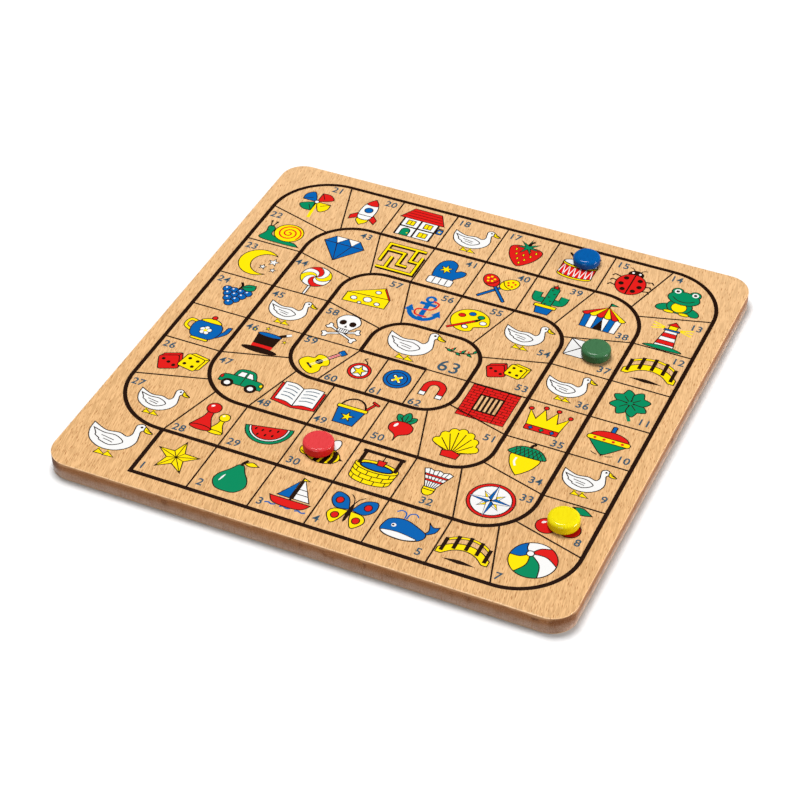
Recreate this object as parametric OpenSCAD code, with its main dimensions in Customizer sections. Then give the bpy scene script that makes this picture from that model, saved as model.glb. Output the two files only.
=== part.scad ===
// Wooden goose-game board with four loose counters, in millimetres.
// The origin is the middle of the underside, +Z is up and +Y points to the far edge.

/* [Board] */
// Width of one lane of the spiral track, between the middles of its heavy lines
lane_w = 35.6; // [26:0.2:48]
// Half width of the finishing block in the middle of the spiral
finish_half = 32.8; // [26:0.2:48]
// Bare margin from the middle of the outermost line to the edge of the board
edge_margin = 10.4; // [5:0.2:24]
// Radius of the corners of the board, seen from above
corner_r = 14; // [4:0.5:30]
// Thickness of the fibreboard core
core_t = 10; // [4:0.5:18]
// Thickness of each beech veneer
veneer_t = 0.5; // [0.4:0.05:1.5]
// Rounding of the outer arris of each veneer
arris_r = 0.4; // [0.1:0.05:1]

/* [Printed track] */
// Width of the heavy spiral line
heavy_w = 2.4; // [1:0.1:4]
// Width of the thin lines between the spaces
thin_w = 0.9; // [0.3:0.05:1.5]
// Thickness of the ink film
ink_t = 0.1; // [0.05:0.01:0.3]
// Corner radius of the first, outermost turn of the heavy line
turn_1_r = 35.2; // [8:0.2:44]
// Corner radius of the second turn
turn_2_r = 29.6; // [8:0.2:44]
// Corner radius of the third turn
turn_3_r = 21.4; // [8:0.2:26]
// Corner radius of the fourth, innermost turn
turn_4_r = 19.6; // [8:0.2:24]
// Inside corner radius where the heavy line turns in under the finish
finish_inner_r = 0.3; // [0.1:0.1:6]
// Distance of the start bar from the second turn's left line
start_inset = 2.4; // [0:0.1:8]
// Lean of the thin lines beside each corner space, in degrees
corner_lean = 16; // [0:1:22]
// Lean of the thin line at the left end of the last lane, in degrees
last_lane_lean = 19; // [0:1:22]
// Distance from the left end of the last lane to its first straight thin line
last_lane_first = 17.6; // [12:0.2:22]
// Distance between the two straight thin lines of the last lane
last_lane_step = 22.7; // [12:0.2:26]

/* [Counters] */
// Diameter of the blue counter
blue_d = 16.2; // [12:0.1:24]
// Height of the blue counter
blue_h = 6; // [5:0.1:10]
// Rounding of the blue counter's upper rim
blue_rim_r = 2.5; // [0.5:0.1:2.6]
// Place of the blue counter from the middle of its space, right and back
blue_drift = [3.6, 5.2]; // [-8:0.1:8]
// Diameter of the red counter
red_d = 17.1; // [12:0.1:24]
// Height of the red counter
red_h = 6.6; // [5:0.1:10]
// Rounding of the red counter's upper rim
red_rim_r = 1.6; // [0.5:0.1:2.6]
// Place of the red counter from the middle of its space, right and back
red_drift = [-1.5, 2.2]; // [-8:0.1:8]
// Diameter of the green counter
green_d = 16.8; // [12:0.1:24]
// Height of the green counter
green_h = 6.8; // [5:0.1:10]
// Rounding of the green counter's upper rim
green_rim_r = 2.2; // [0.5:0.1:2.6]
// Place of the green counter from the middle of its space, right and back
green_drift = [3.1, -1.5]; // [-8:0.1:8]
// Diameter of the yellow counter
yellow_d = 17.2; // [12:0.1:24]
// Height of the yellow counter
yellow_h = 6.9; // [5:0.1:10]
// Rounding of the yellow counter's upper rim
yellow_rim_r = 2.4; // [0.5:0.1:2.6]
// Place of the yellow counter from the middle of its space, right and back
yellow_drift = [0.5, 1.0]; // [-8:0.1:8]
// Rounding of the lower rim of every counter
foot_r = 2.4; // [0.5:0.1:2.4]

/* [Hidden] */

$fn = 96;
// Straight steps that stand for one quarter turn of the printed line
turn_steps = 24;
lanes = 3;
// Half width of each turn of the heavy line, from the outermost to the finish
turn_half = [for (k = [0 : lanes]) finish_half + (lanes - k) * lane_w];
turn_r = [turn_1_r, turn_2_r, turn_3_r, turn_4_r];
finish_turn_r = finish_inner_r + heavy_w / 2;
board_half = turn_half[0] + edge_margin;
board_t = core_t + 2 * veneer_t;
// Least flat that is left on a veneer's edge beside its rounded arris
edge_land = 0.05;
arris = min(arris_r, veneer_t - edge_land);
print_z = board_t;
counter_z = print_z + ink_t;
start_x = -turn_half[1] + start_inset;
last_lane_x = -turn_half[lanes] + last_lane_first;
// Middles of the lanes, and of the spaces along them, that the counters stand in
outer_lane = (turn_half[0] + turn_half[1]) / 2;
second_lane = (turn_half[1] + turn_half[2]) / 2;
third_lane = (turn_half[2] + turn_half[3]) / 2;
beside_middle = turn_half[3] / 2;

beech = [0.93, 0.74, 0.5];
fibreboard = [0.52, 0.38, 0.29];
line_ink = [0.13, 0.07, 0.04];

// Heading of the line on each side of the spiral: right, up, left and down
heading = [[1, 0], [0, 1], [-1, 0], [0, -1]];

// The spiral's corners in order, each as its point and its radius
spiral_corners = [
    for (k = [0 : lanes])
        let (
            h = turn_half[k],
            r = turn_r[k],
            last = k == lanes,
            down_to = last ? 0 : -turn_half[k + 1],
            down_r = last ? finish_turn_r : r
        )
        each [[[h, -h], r], [[h, h], r], [[-h, h], r], [[-h, down_to], down_r]]
];
spiral_start = [start_x, -turn_half[0]];
spiral_end = [last_lane_x + last_lane_step, 0];

// Points of one quarter turn to the left, at a distance to the left of the line's middle
function quarter_turn(corner, r, side, shift) =
    let (
        centre = corner - r * heading[side] + r * heading[(side + 1) % 4],
        from = 90 * side - 90
    )
    [
        for (i = [0 : turn_steps])
            let (a = from + 90 * i / turn_steps)
            centre + (r - shift) * [cos(a), sin(a)]
    ];

// One edge of the heavy line, from the start bar to its end under the finish
function spiral_edge(shift) = concat(
    [spiral_start + [0, shift]],
    [
        for (i = [0 : len(spiral_corners) - 1])
            each quarter_turn(spiral_corners[i][0], spiral_corners[i][1], i % 4, shift)
    ],
    [spiral_end + [0, shift]]
);

function reversed(points) = [for (i = [len(points) - 1 : -1 : 0]) points[i]];

// Distance from a point, along a unit direction, to the near side of a circle
function reach(from, way, centre, r) =
    let (
        gap = centre - from,
        along = gap * way,
        off = gap * gap - along * along
    )
    along - sqrt(max(0, r * r - off));

// Places of the straight thin lines inside one turn, measured along a side
function cross_lines(k) = concat(
    [for (i = [k + 2 : 1 : lanes]) -turn_half[i]],
    [0],
    [for (i = [lanes : -1 : k + 2]) turn_half[i]]
);

// The straight thin lines of one side of one turn
function side_lines(k, side) =
    let (all = cross_lines(k))
    side == 0 && k > 0 ? concat([-turn_half[k + 1]], all)
    : side == 3 && k < lanes - 1 ? [for (i = [0 : len(all) - 2]) all[i]]
    : all;

// Edge of a slab from its corner's centre outward, with the upper outer arris rounded
module slab_profile(width, height, round) {
    difference() {
        square([width, height]);
        translate([width - round, height - round])
            difference() {
                square(2 * round);
                circle(round);
            }
    }
}

// Square plate with rounded corners and a rounded upper arris, standing on z = 0
module eased_plate(half, r, height, round) {
    inner = half - r;
    translate([-inner, -inner, 0])
        cube([2 * inner, 2 * inner, height]);
    for (side = [0 : 3])
        rotate(90 * side) {
            translate([inner, inner, 0])
                rotate([90, 0, 0])
                    linear_extrude(2 * inner)
                        slab_profile(r, height, round);
            translate([inner, inner, 0])
                rotate_extrude(angle = 90)
                    slab_profile(r, height, round);
        }
}

// Plan of the board's core
module plan(half, r) {
    inner = half - r;
    square([2 * half, 2 * inner], center = true);
    square([2 * inner, 2 * half], center = true);
    for (x = [-inner, inner], y = [-inner, inner])
        translate([x, y])
            circle(r);
}

// Heavy spiral line with its start bar
module heavy_lines() {
    half = heavy_w / 2;
    polygon(concat(spiral_edge(-half), reversed(spiral_edge(half))));
    translate([start_x - half, -turn_half[0] - half])
        square([heavy_w, lane_w + half]);
}

// Thin line that runs inward from one turn, drawn in the frame of the side it stands on
module straight_line(along, k, run) {
    translate([along - thin_w / 2, -turn_half[k]])
        square([thin_w, run]);
}

// Thin line beside a corner space, leaning towards the middle of its side
module leaning_line(along, k, inner_corner, r) {
    lean = along > 0 ? corner_lean : -corner_lean;
    from = [along, -turn_half[k]];
    centre = inner_corner + r * [along > 0 ? -1 : 1, 1];
    run = reach(from, [-sin(lean), cos(lean)], centre, r);
    translate(from)
        rotate(lean)
            translate([-thin_w / 2, 0])
                square([thin_w, run]);
}

// All thin lines of one lane, side by side round the board
module lane_lines(k) {
    r = turn_r[k + 1];
    inner = turn_half[k + 1];
    for (side = [0 : 3])
        rotate(90 * side) {
            for (along = side_lines(k, side))
                straight_line(along, k, lane_w);
            if (side < 3)
                leaning_line(inner, k, [inner, -inner], r);
            if (side > 0)
                leaning_line(-inner, k, [-inner, -inner], r);
        }
    if (k < lanes - 1) {
        next = turn_half[k + 2];
        rotate(270)
            leaning_line(next, k, [next, -inner], r);
    }
    if (k > 0) {
        along = k == 1 ? start_x : -turn_half[k];
        leaning_line(along, k, [-turn_half[k], -inner], turn_r[k]);
    }
}

// Thin lines of the short last lane, and the line between it and the finish
module last_lane_lines() {
    half = turn_half[lanes];
    translate([-half - half * tan(last_lane_lean), -half])
        rotate(-last_lane_lean)
            translate([-thin_w / 2, 0])
                square([thin_w, half / cos(last_lane_lean)]);
    for (i = [0, 1])
        straight_line(last_lane_x + i * last_lane_step, lanes, half);
    translate([spiral_end.x, -thin_w / 2])
        square([half - spiral_end.x, thin_w]);
}

module core_panel() {
    color(fibreboard)
        translate([0, 0, veneer_t])
            linear_extrude(core_t)
                plan(board_half, corner_r);
}

module top_veneer() {
    color(beech)
        translate([0, 0, veneer_t + core_t])
            eased_plate(board_half, corner_r, veneer_t, arris);
}

module bottom_veneer() {
    color(beech)
        translate([0, 0, veneer_t])
            rotate([180, 0, 0])
                eased_plate(board_half, corner_r, veneer_t, arris);
}

module track_line_print() {
    color(line_ink)
        translate([0, 0, print_z])
            linear_extrude(ink_t)
                heavy_lines();
}

module space_line_print() {
    color(line_ink)
        translate([0, 0, print_z])
            linear_extrude(ink_t)
                difference() {
                    union() {
                        for (k = [0 : lanes - 1])
                            lane_lines(k);
                        last_lane_lines();
                    }
                    heavy_lines();
                }
}

// Half section of a counter, with both rims rounded
module counter_profile(d, height, rim_r) {
    intersection() {
        slab_profile(d / 2, height, rim_r);
        translate([0, height])
            mirror([0, 1])
                slab_profile(d / 2, height, foot_r);
    }
}

// Turned counter standing on the print at a place on the board
module counter(place, d, height, rim_r) {
    translate([place.x, place.y, counter_z])
        rotate_extrude()
            counter_profile(d, height, rim_r);
}

module blue_counter() {
    color("royalblue")
        counter([third_lane, outer_lane] + blue_drift, blue_d, blue_h, blue_rim_r);
}

module red_counter() {
    color("crimson")
        counter([-beside_middle, -second_lane] + red_drift, red_d, red_h, red_rim_r);
}

module green_counter() {
    color("seagreen")
        counter([second_lane, third_lane] + green_drift, green_d, green_h, green_rim_r);
}

module yellow_counter() {
    color("gold")
        counter([outer_lane, -second_lane] + yellow_drift, yellow_d, yellow_h, yellow_rim_r);
}

core_panel();
top_veneer();
bottom_veneer();
track_line_print();
space_line_print();
blue_counter();
red_counter();
green_counter();
yellow_counter();
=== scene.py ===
"""Looks of a wooden goose game board with four loose painted counters.

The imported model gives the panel, its veneers, the printed lines and the counters. This script
dresses them, prints the numbers and the pictures of the spaces as thin films of ink, and sets
up the studio. Drawing is done in millimetres on the board's plan, and meshes are in metres.
"""

import logging
import math
from collections.abc import Callable
from dataclasses import dataclass, field
from enum import Enum
from typing import Any, ClassVar

import bpy
from mathutils import Matrix, Vector


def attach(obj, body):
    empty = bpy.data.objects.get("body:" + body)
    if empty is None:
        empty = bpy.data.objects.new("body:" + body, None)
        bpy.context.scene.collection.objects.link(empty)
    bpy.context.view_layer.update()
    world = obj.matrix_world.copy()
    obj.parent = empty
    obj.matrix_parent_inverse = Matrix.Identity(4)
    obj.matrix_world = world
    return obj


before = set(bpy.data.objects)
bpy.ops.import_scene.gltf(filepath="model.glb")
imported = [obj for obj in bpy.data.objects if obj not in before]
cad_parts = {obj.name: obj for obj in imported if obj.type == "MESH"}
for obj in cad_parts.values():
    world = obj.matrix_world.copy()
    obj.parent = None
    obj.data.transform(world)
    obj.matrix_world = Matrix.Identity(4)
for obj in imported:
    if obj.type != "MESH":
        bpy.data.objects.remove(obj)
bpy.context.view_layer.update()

LOG = logging.getLogger("goose_board")
MM = 0.001
FINISH = 63
CORNER_STEPS = 5
CURVE_STEPS = 6
DOT_POINTS = 16
Point = tuple[float, float]
Path = list[Point]
Triple = tuple[float, float, float]
Colour = Triple
Ramp = tuple[float, ...]


class Ink(Enum):
    """The screen inks on the board, by the record's material slot."""

    LINE = "line_ink"
    NUMERAL = "numeral_ink"
    WHITE = "white_ink"
    RED = "red_ink"
    YELLOW = "yellow_ink"
    BLUE = "blue_ink"
    GREEN = "green_ink"


class Corner(Enum):
    """Where a number stands in its space, as steps from the middle."""

    LOWER_LEFT = (-1, -1)
    LOWER_MIDDLE = (0, -1)
    LOWER_RIGHT = (1, -1)
    UPPER_LEFT = (-1, 1)
    UPPER_RIGHT = (1, 1)


# Shapes on the plan


def oval(x: float, y: float, rx: float, ry: float = 0.0, tilt: float = 0.0, count: int = 36) -> Path:
    """Makes an oval.

    Args:
        x: Middle, to the right.
        y: Middle, upwards.
        rx: Half width.
        ry: Half height, or 0 for a circle.
        tilt: Turn to the left, in degrees.
        count: Number of points.

    Returns:
        The points of the outline.
    """
    high = ry or rx
    angles = [math.tau * i / count for i in range(count)]
    return moved([(rx * math.cos(a), high * math.sin(a)) for a in angles], x, y, tilt)


def arc(x: float, y: float, r: float, start: float, stop: float, ry: float = 0.0, count: int = 18) -> Path:
    """Makes an open arc between two angles in degrees, round or, with a half height, oval."""
    angles = [math.radians(start + (stop - start) * i / count) for i in range(count + 1)]
    return [(x + r * math.cos(a), y + (ry or r) * math.sin(a)) for a in angles]


def plate(x0: float, y0: float, x1: float, y1: float, r: float = 0.0) -> Path:
    """Makes an upright rectangle with rounded corners.

    Args:
        x0: Left side.
        y0: Lower side.
        x1: Right side.
        y1: Upper side.
        r: Corner radius.

    Returns:
        The points of the outline.
    """
    if r <= 0.0:
        return [(x0, y0), (x1, y0), (x1, y1), (x0, y1)]
    points = []
    for x, y, start in (
        (x1 - r, y0 + r, -90),
        (x1 - r, y1 - r, 0),
        (x0 + r, y1 - r, 90),
        (x0 + r, y0 + r, 180),
    ):
        points += arc(x, y, r, start, start + 90, count=CORNER_STEPS)
    return points


def rays(x: float, y: float, r0: float, r1: float, count: int) -> Path:
    """Makes a star with a tip at the top.

    Args:
        x: Middle, to the right.
        y: Middle, upwards.
        r0: Radius of the notches.
        r1: Radius of the tips.
        count: Number of tips.

    Returns:
        The points of the outline.
    """
    points = []
    for i in range(2 * count):
        a = math.radians(90.0 + 180.0 * i / count)
        r = r0 if i % 2 else r1
        points.append((x + r * math.cos(a), y + r * math.sin(a)))
    return points


def bend(points: Path, closed: bool = False) -> Path:
    """Draws a smooth curve through points; a point given twice is a sharp corner.

    Args:
        points: The points to pass through.
        closed: Whether the curve comes back to its start.

    Returns:
        The points along the curve.
    """
    n = len(points)
    made = []
    for i in range(n if closed else n - 1):
        p1, p2 = points[i], points[(i + 1) % n]
        if p1 == p2:
            continue
        p0 = points[i - 1] if closed or i else p1
        p3 = points[(i + 2) % n] if closed or i + 2 < n else p2
        for s in range(CURVE_STEPS):
            t = s / CURVE_STEPS
            made.append(
                tuple(
                    b + 0.5 * t * (c - a + t * (2 * a - 5 * b + 4 * c - d + t * (3 * (b - c) + d - a)))
                    for a, b, c, d in zip(p0, p1, p2, p3)
                )
            )
    return made if closed else made + [points[-1]]


def loop(*points: Point) -> Path:
    """Draws a smooth closed curve through points."""
    return bend(list(points), closed=True)


def mirrored(points: Path) -> Path:
    """Mirrors points left to right."""
    return [(-x, y) for x, y in points]


def twin(first: Point, right: Path, *last: Point) -> Path:
    """Draws a smooth closed curve with like sides, from its middle points and its right side."""
    return loop(first, *right, *last, *mirrored(right)[::-1])


def moved(points: Path, dx: float, dy: float, turn: float = 0.0, grow: float = 1.0) -> Path:
    """Grows points about the middle, turns them to the left by degrees and then moves them."""
    c, s = grow * math.cos(math.radians(turn)), grow * math.sin(math.radians(turn))
    return [(dx + c * x - s * y, dy + s * x + c * y) for x, y in points]


# Ink films


@dataclass
class Film:
    """The mesh of one ink, a set of closed thin patches.

    Points of a line that lie closer than one_point count as one, a turn sharper than back_turn is
    taken as a turn back, and a bend's outer corner reaches out by no more than 1 / mitre.
    """

    one_point: ClassVar[float] = 1e-3
    back_turn: ClassVar[float] = 1e-6
    mitre: ClassVar[float] = 0.4
    verts: list[Triple] = field(default_factory=list)
    faces: list[tuple[int, ...]] = field(default_factory=list)

    def patch(self, points: Path, low: float, high: float) -> None:
        """Adds a closed patch with one flat top.

        Args:
            points: Its outline, in millimetres.
            low: Height of its underside, in millimetres.
            high: Height of its top, in millimetres.
        """
        area = sum(a[0] * b[1] - b[0] * a[1] for a, b in zip(points, points[1:] + points[:1]))
        ring = points if area > 0 else points[::-1]
        n, first = len(ring), len(self.verts)
        self.verts += [(x * MM, y * MM, low * MM) for x, y in ring]
        self.verts += [(x * MM, y * MM, high * MM) for x, y in ring]
        self.faces.append(tuple(first + n + i for i in range(n)))
        self.faces.append(tuple(first + n - 1 - i for i in range(n)))
        for i in range(n):
            j = (i + 1) % n
            self.faces.append((first + i, first + j, first + n + j, first + n + i))

    def ribbon(self, points: Path, width: float, low: float, high: float, closed: bool) -> None:
        """Adds a closed ribbon along a line.

        Args:
            points: The line, in millimetres.
            width: Its width, in millimetres.
            low: Height of its underside, in millimetres.
            high: Height of its top, in millimetres.
            closed: Whether the line comes back to its start.
        """
        left, right = self.sides(points, width, closed)
        n, first = len(left), len(self.verts)
        for z in (low, high):
            self.verts += [(x * MM, y * MM, z * MM) for x, y in left]
            self.verts += [(x * MM, y * MM, z * MM) for x, y in right]
        bl, br, tl, tr = first, first + n, first + 2 * n, first + 3 * n
        for i in range(n if closed else n - 1):
            j = (i + 1) % n
            self.faces.append((tr + i, tr + j, tl + j, tl + i))
            self.faces.append((bl + i, bl + j, br + j, br + i))
            self.faces.append((tl + i, tl + j, bl + j, bl + i))
            self.faces.append((br + i, br + j, tr + j, tr + i))
        if not closed:
            e = n - 1
            self.faces.append((bl, br, tr, tl))
            self.faces.append((br + e, bl + e, tl + e, tr + e))

    @classmethod
    def sides(cls, points: Path, width: float, closed: bool) -> tuple[Path, Path]:
        """Finds the two sides of a ribbon.

        Args:
            points: The line.
            width: The ribbon's width.
            closed: Whether the line comes back to its start.

        Returns:
            The left side and the right side, point by point.
        """
        line = [p for i, p in enumerate(points) if i == 0 or math.dist(p, points[i - 1]) > cls.one_point]
        if closed and math.dist(line[0], line[-1]) < cls.one_point:
            line.pop()
        n = len(line)
        left, right = [], []
        for i, p in enumerate(line):
            before = line[i - 1] if closed or i else p
            after = line[(i + 1) % n] if closed or i + 1 < n else p
            d0 = Vector((p[0] - before[0], p[1] - before[1]))
            d1 = Vector((after[0] - p[0], after[1] - p[1]))
            d0 = (d0 if d0.length else d1).normalized()
            d1 = (d1 if d1.length else d0).normalized()
            across = d0 + d1
            across = (across if across.length > cls.back_turn else d1).normalized()
            reach = 0.5 * width / max(abs(across.dot(d1)), cls.mitre)
            left.append((p[0] - across.y * reach, p[1] + across.x * reach))
            right.append((p[0] + across.y * reach, p[1] - across.x * reach))
        return left, right

    def build(self, name: str) -> bpy.types.Object:
        """Makes the mesh object.

        Args:
            name: The piece's name.

        Returns:
            The new object, linked to the scene.
        """
        mesh = bpy.data.meshes.new(name)
        mesh.from_pydata(self.verts, [], self.faces)
        mesh.validate()
        piece = bpy.data.objects.new(name, mesh)
        bpy.context.scene.collection.objects.link(piece)
        return piece


@dataclass
class Pen:
    """Draws pictures in ink on a face of the board, one after another.

    A picture is drawn in its own units about its own middle. A patch that overlaps an earlier
    one of the same picture is laid a step higher, so that the later ink shows. Over its own ink
    it is laid only a hair higher, so that no two patches lie in one plane.
    """

    films: dict[Ink, Film]
    face_z: float = 11.0
    up: float = 1.0
    base: float = 0.02
    step: float = 0.005
    hair: float = 0.0006
    edge_w: float = 0.6
    x: float = 0.0
    y: float = 0.0
    size: float = 1.0
    laid: list[tuple[float, float, float, float, Ink, float]] = field(default_factory=list)

    def place(self, x: float, y: float, size: float) -> None:
        """Starts a new picture about a point of the board, with the length of one unit, in millimetres."""
        self.x, self.y, self.size = x, y, size
        self.laid = []

    def on_board(self, points: Path) -> Path:
        """Moves points from the picture's units to the board."""
        return [(self.x + self.size * u, self.y + self.size * v) for u, v in points]

    def heights(self, ink: Ink, points: Path) -> tuple[float, float]:
        """Finds how high a patch lies, above all that it overlaps, and takes that place.

        Args:
            ink: The patch's ink.
            points: Its outline on the board.

        Returns:
            The lower and the upper height, in millimetres.
        """
        xs, ys = [p[0] for p in points], [p[1] for p in points]
        x0, x1, y0, y1 = min(xs), max(xs), min(ys), max(ys)
        film = self.base
        for a, b, c, d, under, high in self.laid:
            if a < x1 and b > x0 and c < y1 and d > y0:
                film = max(film, high + (self.hair if under is ink else self.step))
        self.laid.append((x0, x1, y0, y1, ink, film))
        top = self.face_z + self.up * film
        return min(self.face_z, top), max(self.face_z, top)

    def fill(self, ink: Ink, points: Path, edge: float = 1.0) -> None:
        """Lays a patch of ink with a dark line round it.

        Args:
            ink: The ink.
            points: Its outline in the picture's units.
            edge: Weight of the line round it, or 0 for none.
        """
        ring = self.on_board(points)
        self.films[ink].patch(ring, *self.heights(ink, ring))
        if edge > 0.0:
            low, high = self.heights(Ink.LINE, ring)
            self.films[Ink.LINE].ribbon(ring, self.edge_w * edge, low, high, True)

    def line(self, points: Path, weight: float = 1.0, ink: Ink = Ink.LINE) -> None:
        """Draws an open line.

        Args:
            points: The line in the picture's units.
            weight: Its width as a share of the usual one.
            ink: The ink.
        """
        path = self.on_board(points)
        low, high = self.heights(ink, path)
        self.films[ink].ribbon(path, self.edge_w * weight, low, high, False)

    def blob(self, ink: Ink, *points: Point, edge: float = 1.0) -> None:
        """Lays a patch with a smooth outline; a point given twice is a sharp corner."""
        self.fill(ink, loop(*points), edge)

    def curve(self, points: Path, weight: float = 1.0, ink: Ink = Ink.LINE) -> None:
        """Draws an open smooth line through points."""
        self.line(bend(points), weight, ink)

    def tube(self, points: Path, outer: float, inner: float, ink: Ink) -> None:
        """Draws an open line of ink with a dark edge on each side, by its outer and inner weight."""
        self.line(points, outer)
        self.line(points, inner, ink)

    def dots(self, ink: Ink, r: float, *middles: Point) -> None:
        """Lays plain round dots of one radius."""
        for x, y in middles:
            self.fill(ink, oval(x, y, r, count=DOT_POINTS), edge=0.0)


# Finishes


@dataclass
class Desk:
    """Places and wires the nodes of one material or node group."""

    tree: bpy.types.NodeTree

    def feed(self, node: bpy.types.Node, inputs: dict[Any, Any]) -> None:
        """Sets a node's inputs, or wires those that a socket is given for.

        Args:
            node: The node.
            inputs: Values or sockets, by the input's name or number.
        """
        for name, value in inputs.items():
            if isinstance(value, bpy.types.NodeSocket):
                self.tree.links.new(value, node.inputs[name])
            else:
                node.inputs[name].default_value = value

    def node(self, kind: str, inputs: dict[Any, Any] | None = None, **settings: Any) -> bpy.types.Node:
        """Adds a node.

        Args:
            kind: Its type, without the words that all shader nodes start with.
            inputs: Values or sockets for its inputs, by name or number.
            settings: Its other settings.

        Returns:
            The new node.
        """
        made = self.tree.nodes.new("ShaderNode" + kind)
        for name, value in settings.items():
            setattr(made, name, value)
        self.feed(made, inputs or {})
        return made

    def group(self, made: bpy.types.NodeTree, **inputs: float) -> bpy.types.Node:
        """Places a node group with its own values."""
        return self.node("Group", inputs, node_tree=made)

    def where(self, coordinate: str = "Object") -> bpy.types.NodeSocket:
        """Adds a place on the object, or another texture coordinate."""
        return self.node("TexCoord").outputs[coordinate]

    def split(self, coordinate: str = "Object") -> Any:
        """Adds a texture coordinate, split into its outputs X, Y and Z."""
        return self.node("SeparateXYZ", {0: self.where(coordinate)}).outputs

    def math(self, operation: str, a: Any, b: Any = 0.0) -> bpy.types.NodeSocket:
        """Adds a sum of two values or sockets, by the node's name for the operation."""
        return self.node("Math", {0: a, 1: b}, operation=operation).outputs[0]

    def times(self, a: Any, b: Any) -> bpy.types.NodeSocket:
        """Adds a product of two values."""
        return self.math("MULTIPLY", a, b)

    def scaled(self, place: bpy.types.NodeSocket, factors: Any) -> bpy.types.NodeSocket:
        """Adds a place multiplied part by part."""
        return self.node("VectorMath", {0: place, 1: factors}, operation="MULTIPLY").outputs[0]

    def ramp(
        self, value: Any, low: float, high: float, to_low: float = 0.0, to_high: float = 1.0
    ) -> bpy.types.NodeSocket:
        """Maps a value smoothly from low and high to two others, 0 and 1 unless they are given."""
        ends = {"Value": value, "From Min": low, "From Max": high, "To Min": to_low, "To Max": to_high}
        return self.node("MapRange", ends, interpolation_type="SMOOTHSTEP").outputs["Result"]

    def mix(self, share: Any, a: Any, b: Any) -> bpy.types.NodeSocket:
        """Mixes two colours or sockets, by the share of the second."""
        return self.node("Mix", {0: share, 6: opaque(a), 7: opaque(b)}, data_type="RGBA").outputs[2]


def opaque(colour: Any) -> Any:
    """Adds an alpha of 1 to a plain colour and passes a socket on."""
    return (*colour, 1.0) if isinstance(colour, tuple) else colour


class Effects:
    """The effects that several finishes share, each a node group built once."""

    grain_turn: ClassVar[float] = -10.5
    band_noise: ClassVar[dict[str, float]] = {"Scale": 0.028, "Detail": 2.0, "Distortion": 0.4}
    streak_noise: ClassVar[dict[str, float]] = {"Scale": 1.5, "Detail": 3.0, "Roughness": 0.65}
    fleck_sizes: ClassVar[dict[Triple, float]] = {(0.8, 1.7, 0.8): 0.22, (0.5, 1.05, 0.5): 0.16}
    fleck_core: ClassVar[float] = 0.3
    fleck_tone: ClassVar[Ramp] = (0.25, 0.95)
    spot_edge: ClassVar[Ramp] = (0.6, 0.74)

    def __init__(self) -> None:
        """Builds the groups."""
        self.figure = self.wood_figure()
        self.speckle = self.fine_speckle()

    @staticmethod
    def start(
        name: str, inputs: dict[str, float], outputs: list[str]
    ) -> tuple[Desk, bpy.types.Node, bpy.types.Node]:
        """Starts a group with number inputs and outputs.

        Args:
            name: The group's name.
            inputs: Its inputs and their usual values.
            outputs: Its outputs.

        Returns:
            The group's desk, its input node and its output node.
        """
        tree = bpy.data.node_groups.new(name, "ShaderNodeTree")
        for socket, usual in inputs.items():
            made = tree.interface.new_socket(name=socket, in_out="INPUT", socket_type="NodeSocketFloat")
            made.default_value = usual
        for socket in outputs:
            tree.interface.new_socket(name=socket, in_out="OUTPUT", socket_type="NodeSocketFloat")
        return Desk(tree), tree.nodes.new("NodeGroupInput"), tree.nodes.new("NodeGroupOutput")

    def wood_figure(self) -> bpy.types.NodeTree:
        """Builds the figure of plain-sawn beech: broad bands, fine streaks and short dark flecks.

        Returns:
            The group, with inputs for how many streaks a metre holds across and along the grain.
        """
        usual = {"Across": 1250.0, "Along": 85.0}
        desk, given, out = self.start("wood_figure", usual, ["Bands", "Streaks", "Flecks"])
        turn = {"Vector": desk.where(), "Angle": math.radians(self.grain_turn)}
        turned = desk.node("VectorRotate", turn, rotation_type="Z_AXIS").outputs[0]
        across, along = given.outputs["Across"], given.outputs["Along"]
        pitch = desk.node("CombineXYZ", {"X": across, "Y": along, "Z": across}).outputs[0]
        at = desk.scaled(turned, pitch)
        bands = desk.node("TexNoise", {"Vector": at, **self.band_noise})
        streaks = desk.node("TexNoise", {"Vector": at, **self.streak_noise})
        found = []
        for share, spread in self.fleck_sizes.items():
            spot = {"Vector": desk.scaled(at, share), "Scale": 1.0}
            cell = desk.node("TexVoronoi", spot, voronoi_dimensions="2D").outputs
            dash = desk.ramp(cell["Distance"], spread, self.fleck_core * spread)
            chance = desk.node("SeparateColor", {0: cell["Color"]}).outputs[0]
            dark = desk.ramp(chance, *self.fleck_tone)
            found.append(desk.times(dash, dark))
        flecks = desk.math("MAXIMUM", *found)
        desk.feed(out, {"Bands": bands.outputs[0], "Streaks": streaks.outputs[0], "Flecks": flecks})
        return desk.tree

    def fine_speckle(self) -> bpy.types.NodeTree:
        """Builds an even, fine unevenness, such as in fibres, ink and paint.

        Returns:
            The group, with an input for how many grains a metre holds.
        """
        desk, given, out = self.start("fine_speckle", {"Grain": 2000.0}, ["Fine", "Spots"])
        grain = {"Vector": desk.where(), "Scale": given.outputs["Grain"], "Detail": 3.0}
        fine = desk.node("TexNoise", grain).outputs[0]
        desk.feed(out, {"Fine": fine, "Spots": desk.ramp(fine, *self.spot_edge)})
        return desk.tree


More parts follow.
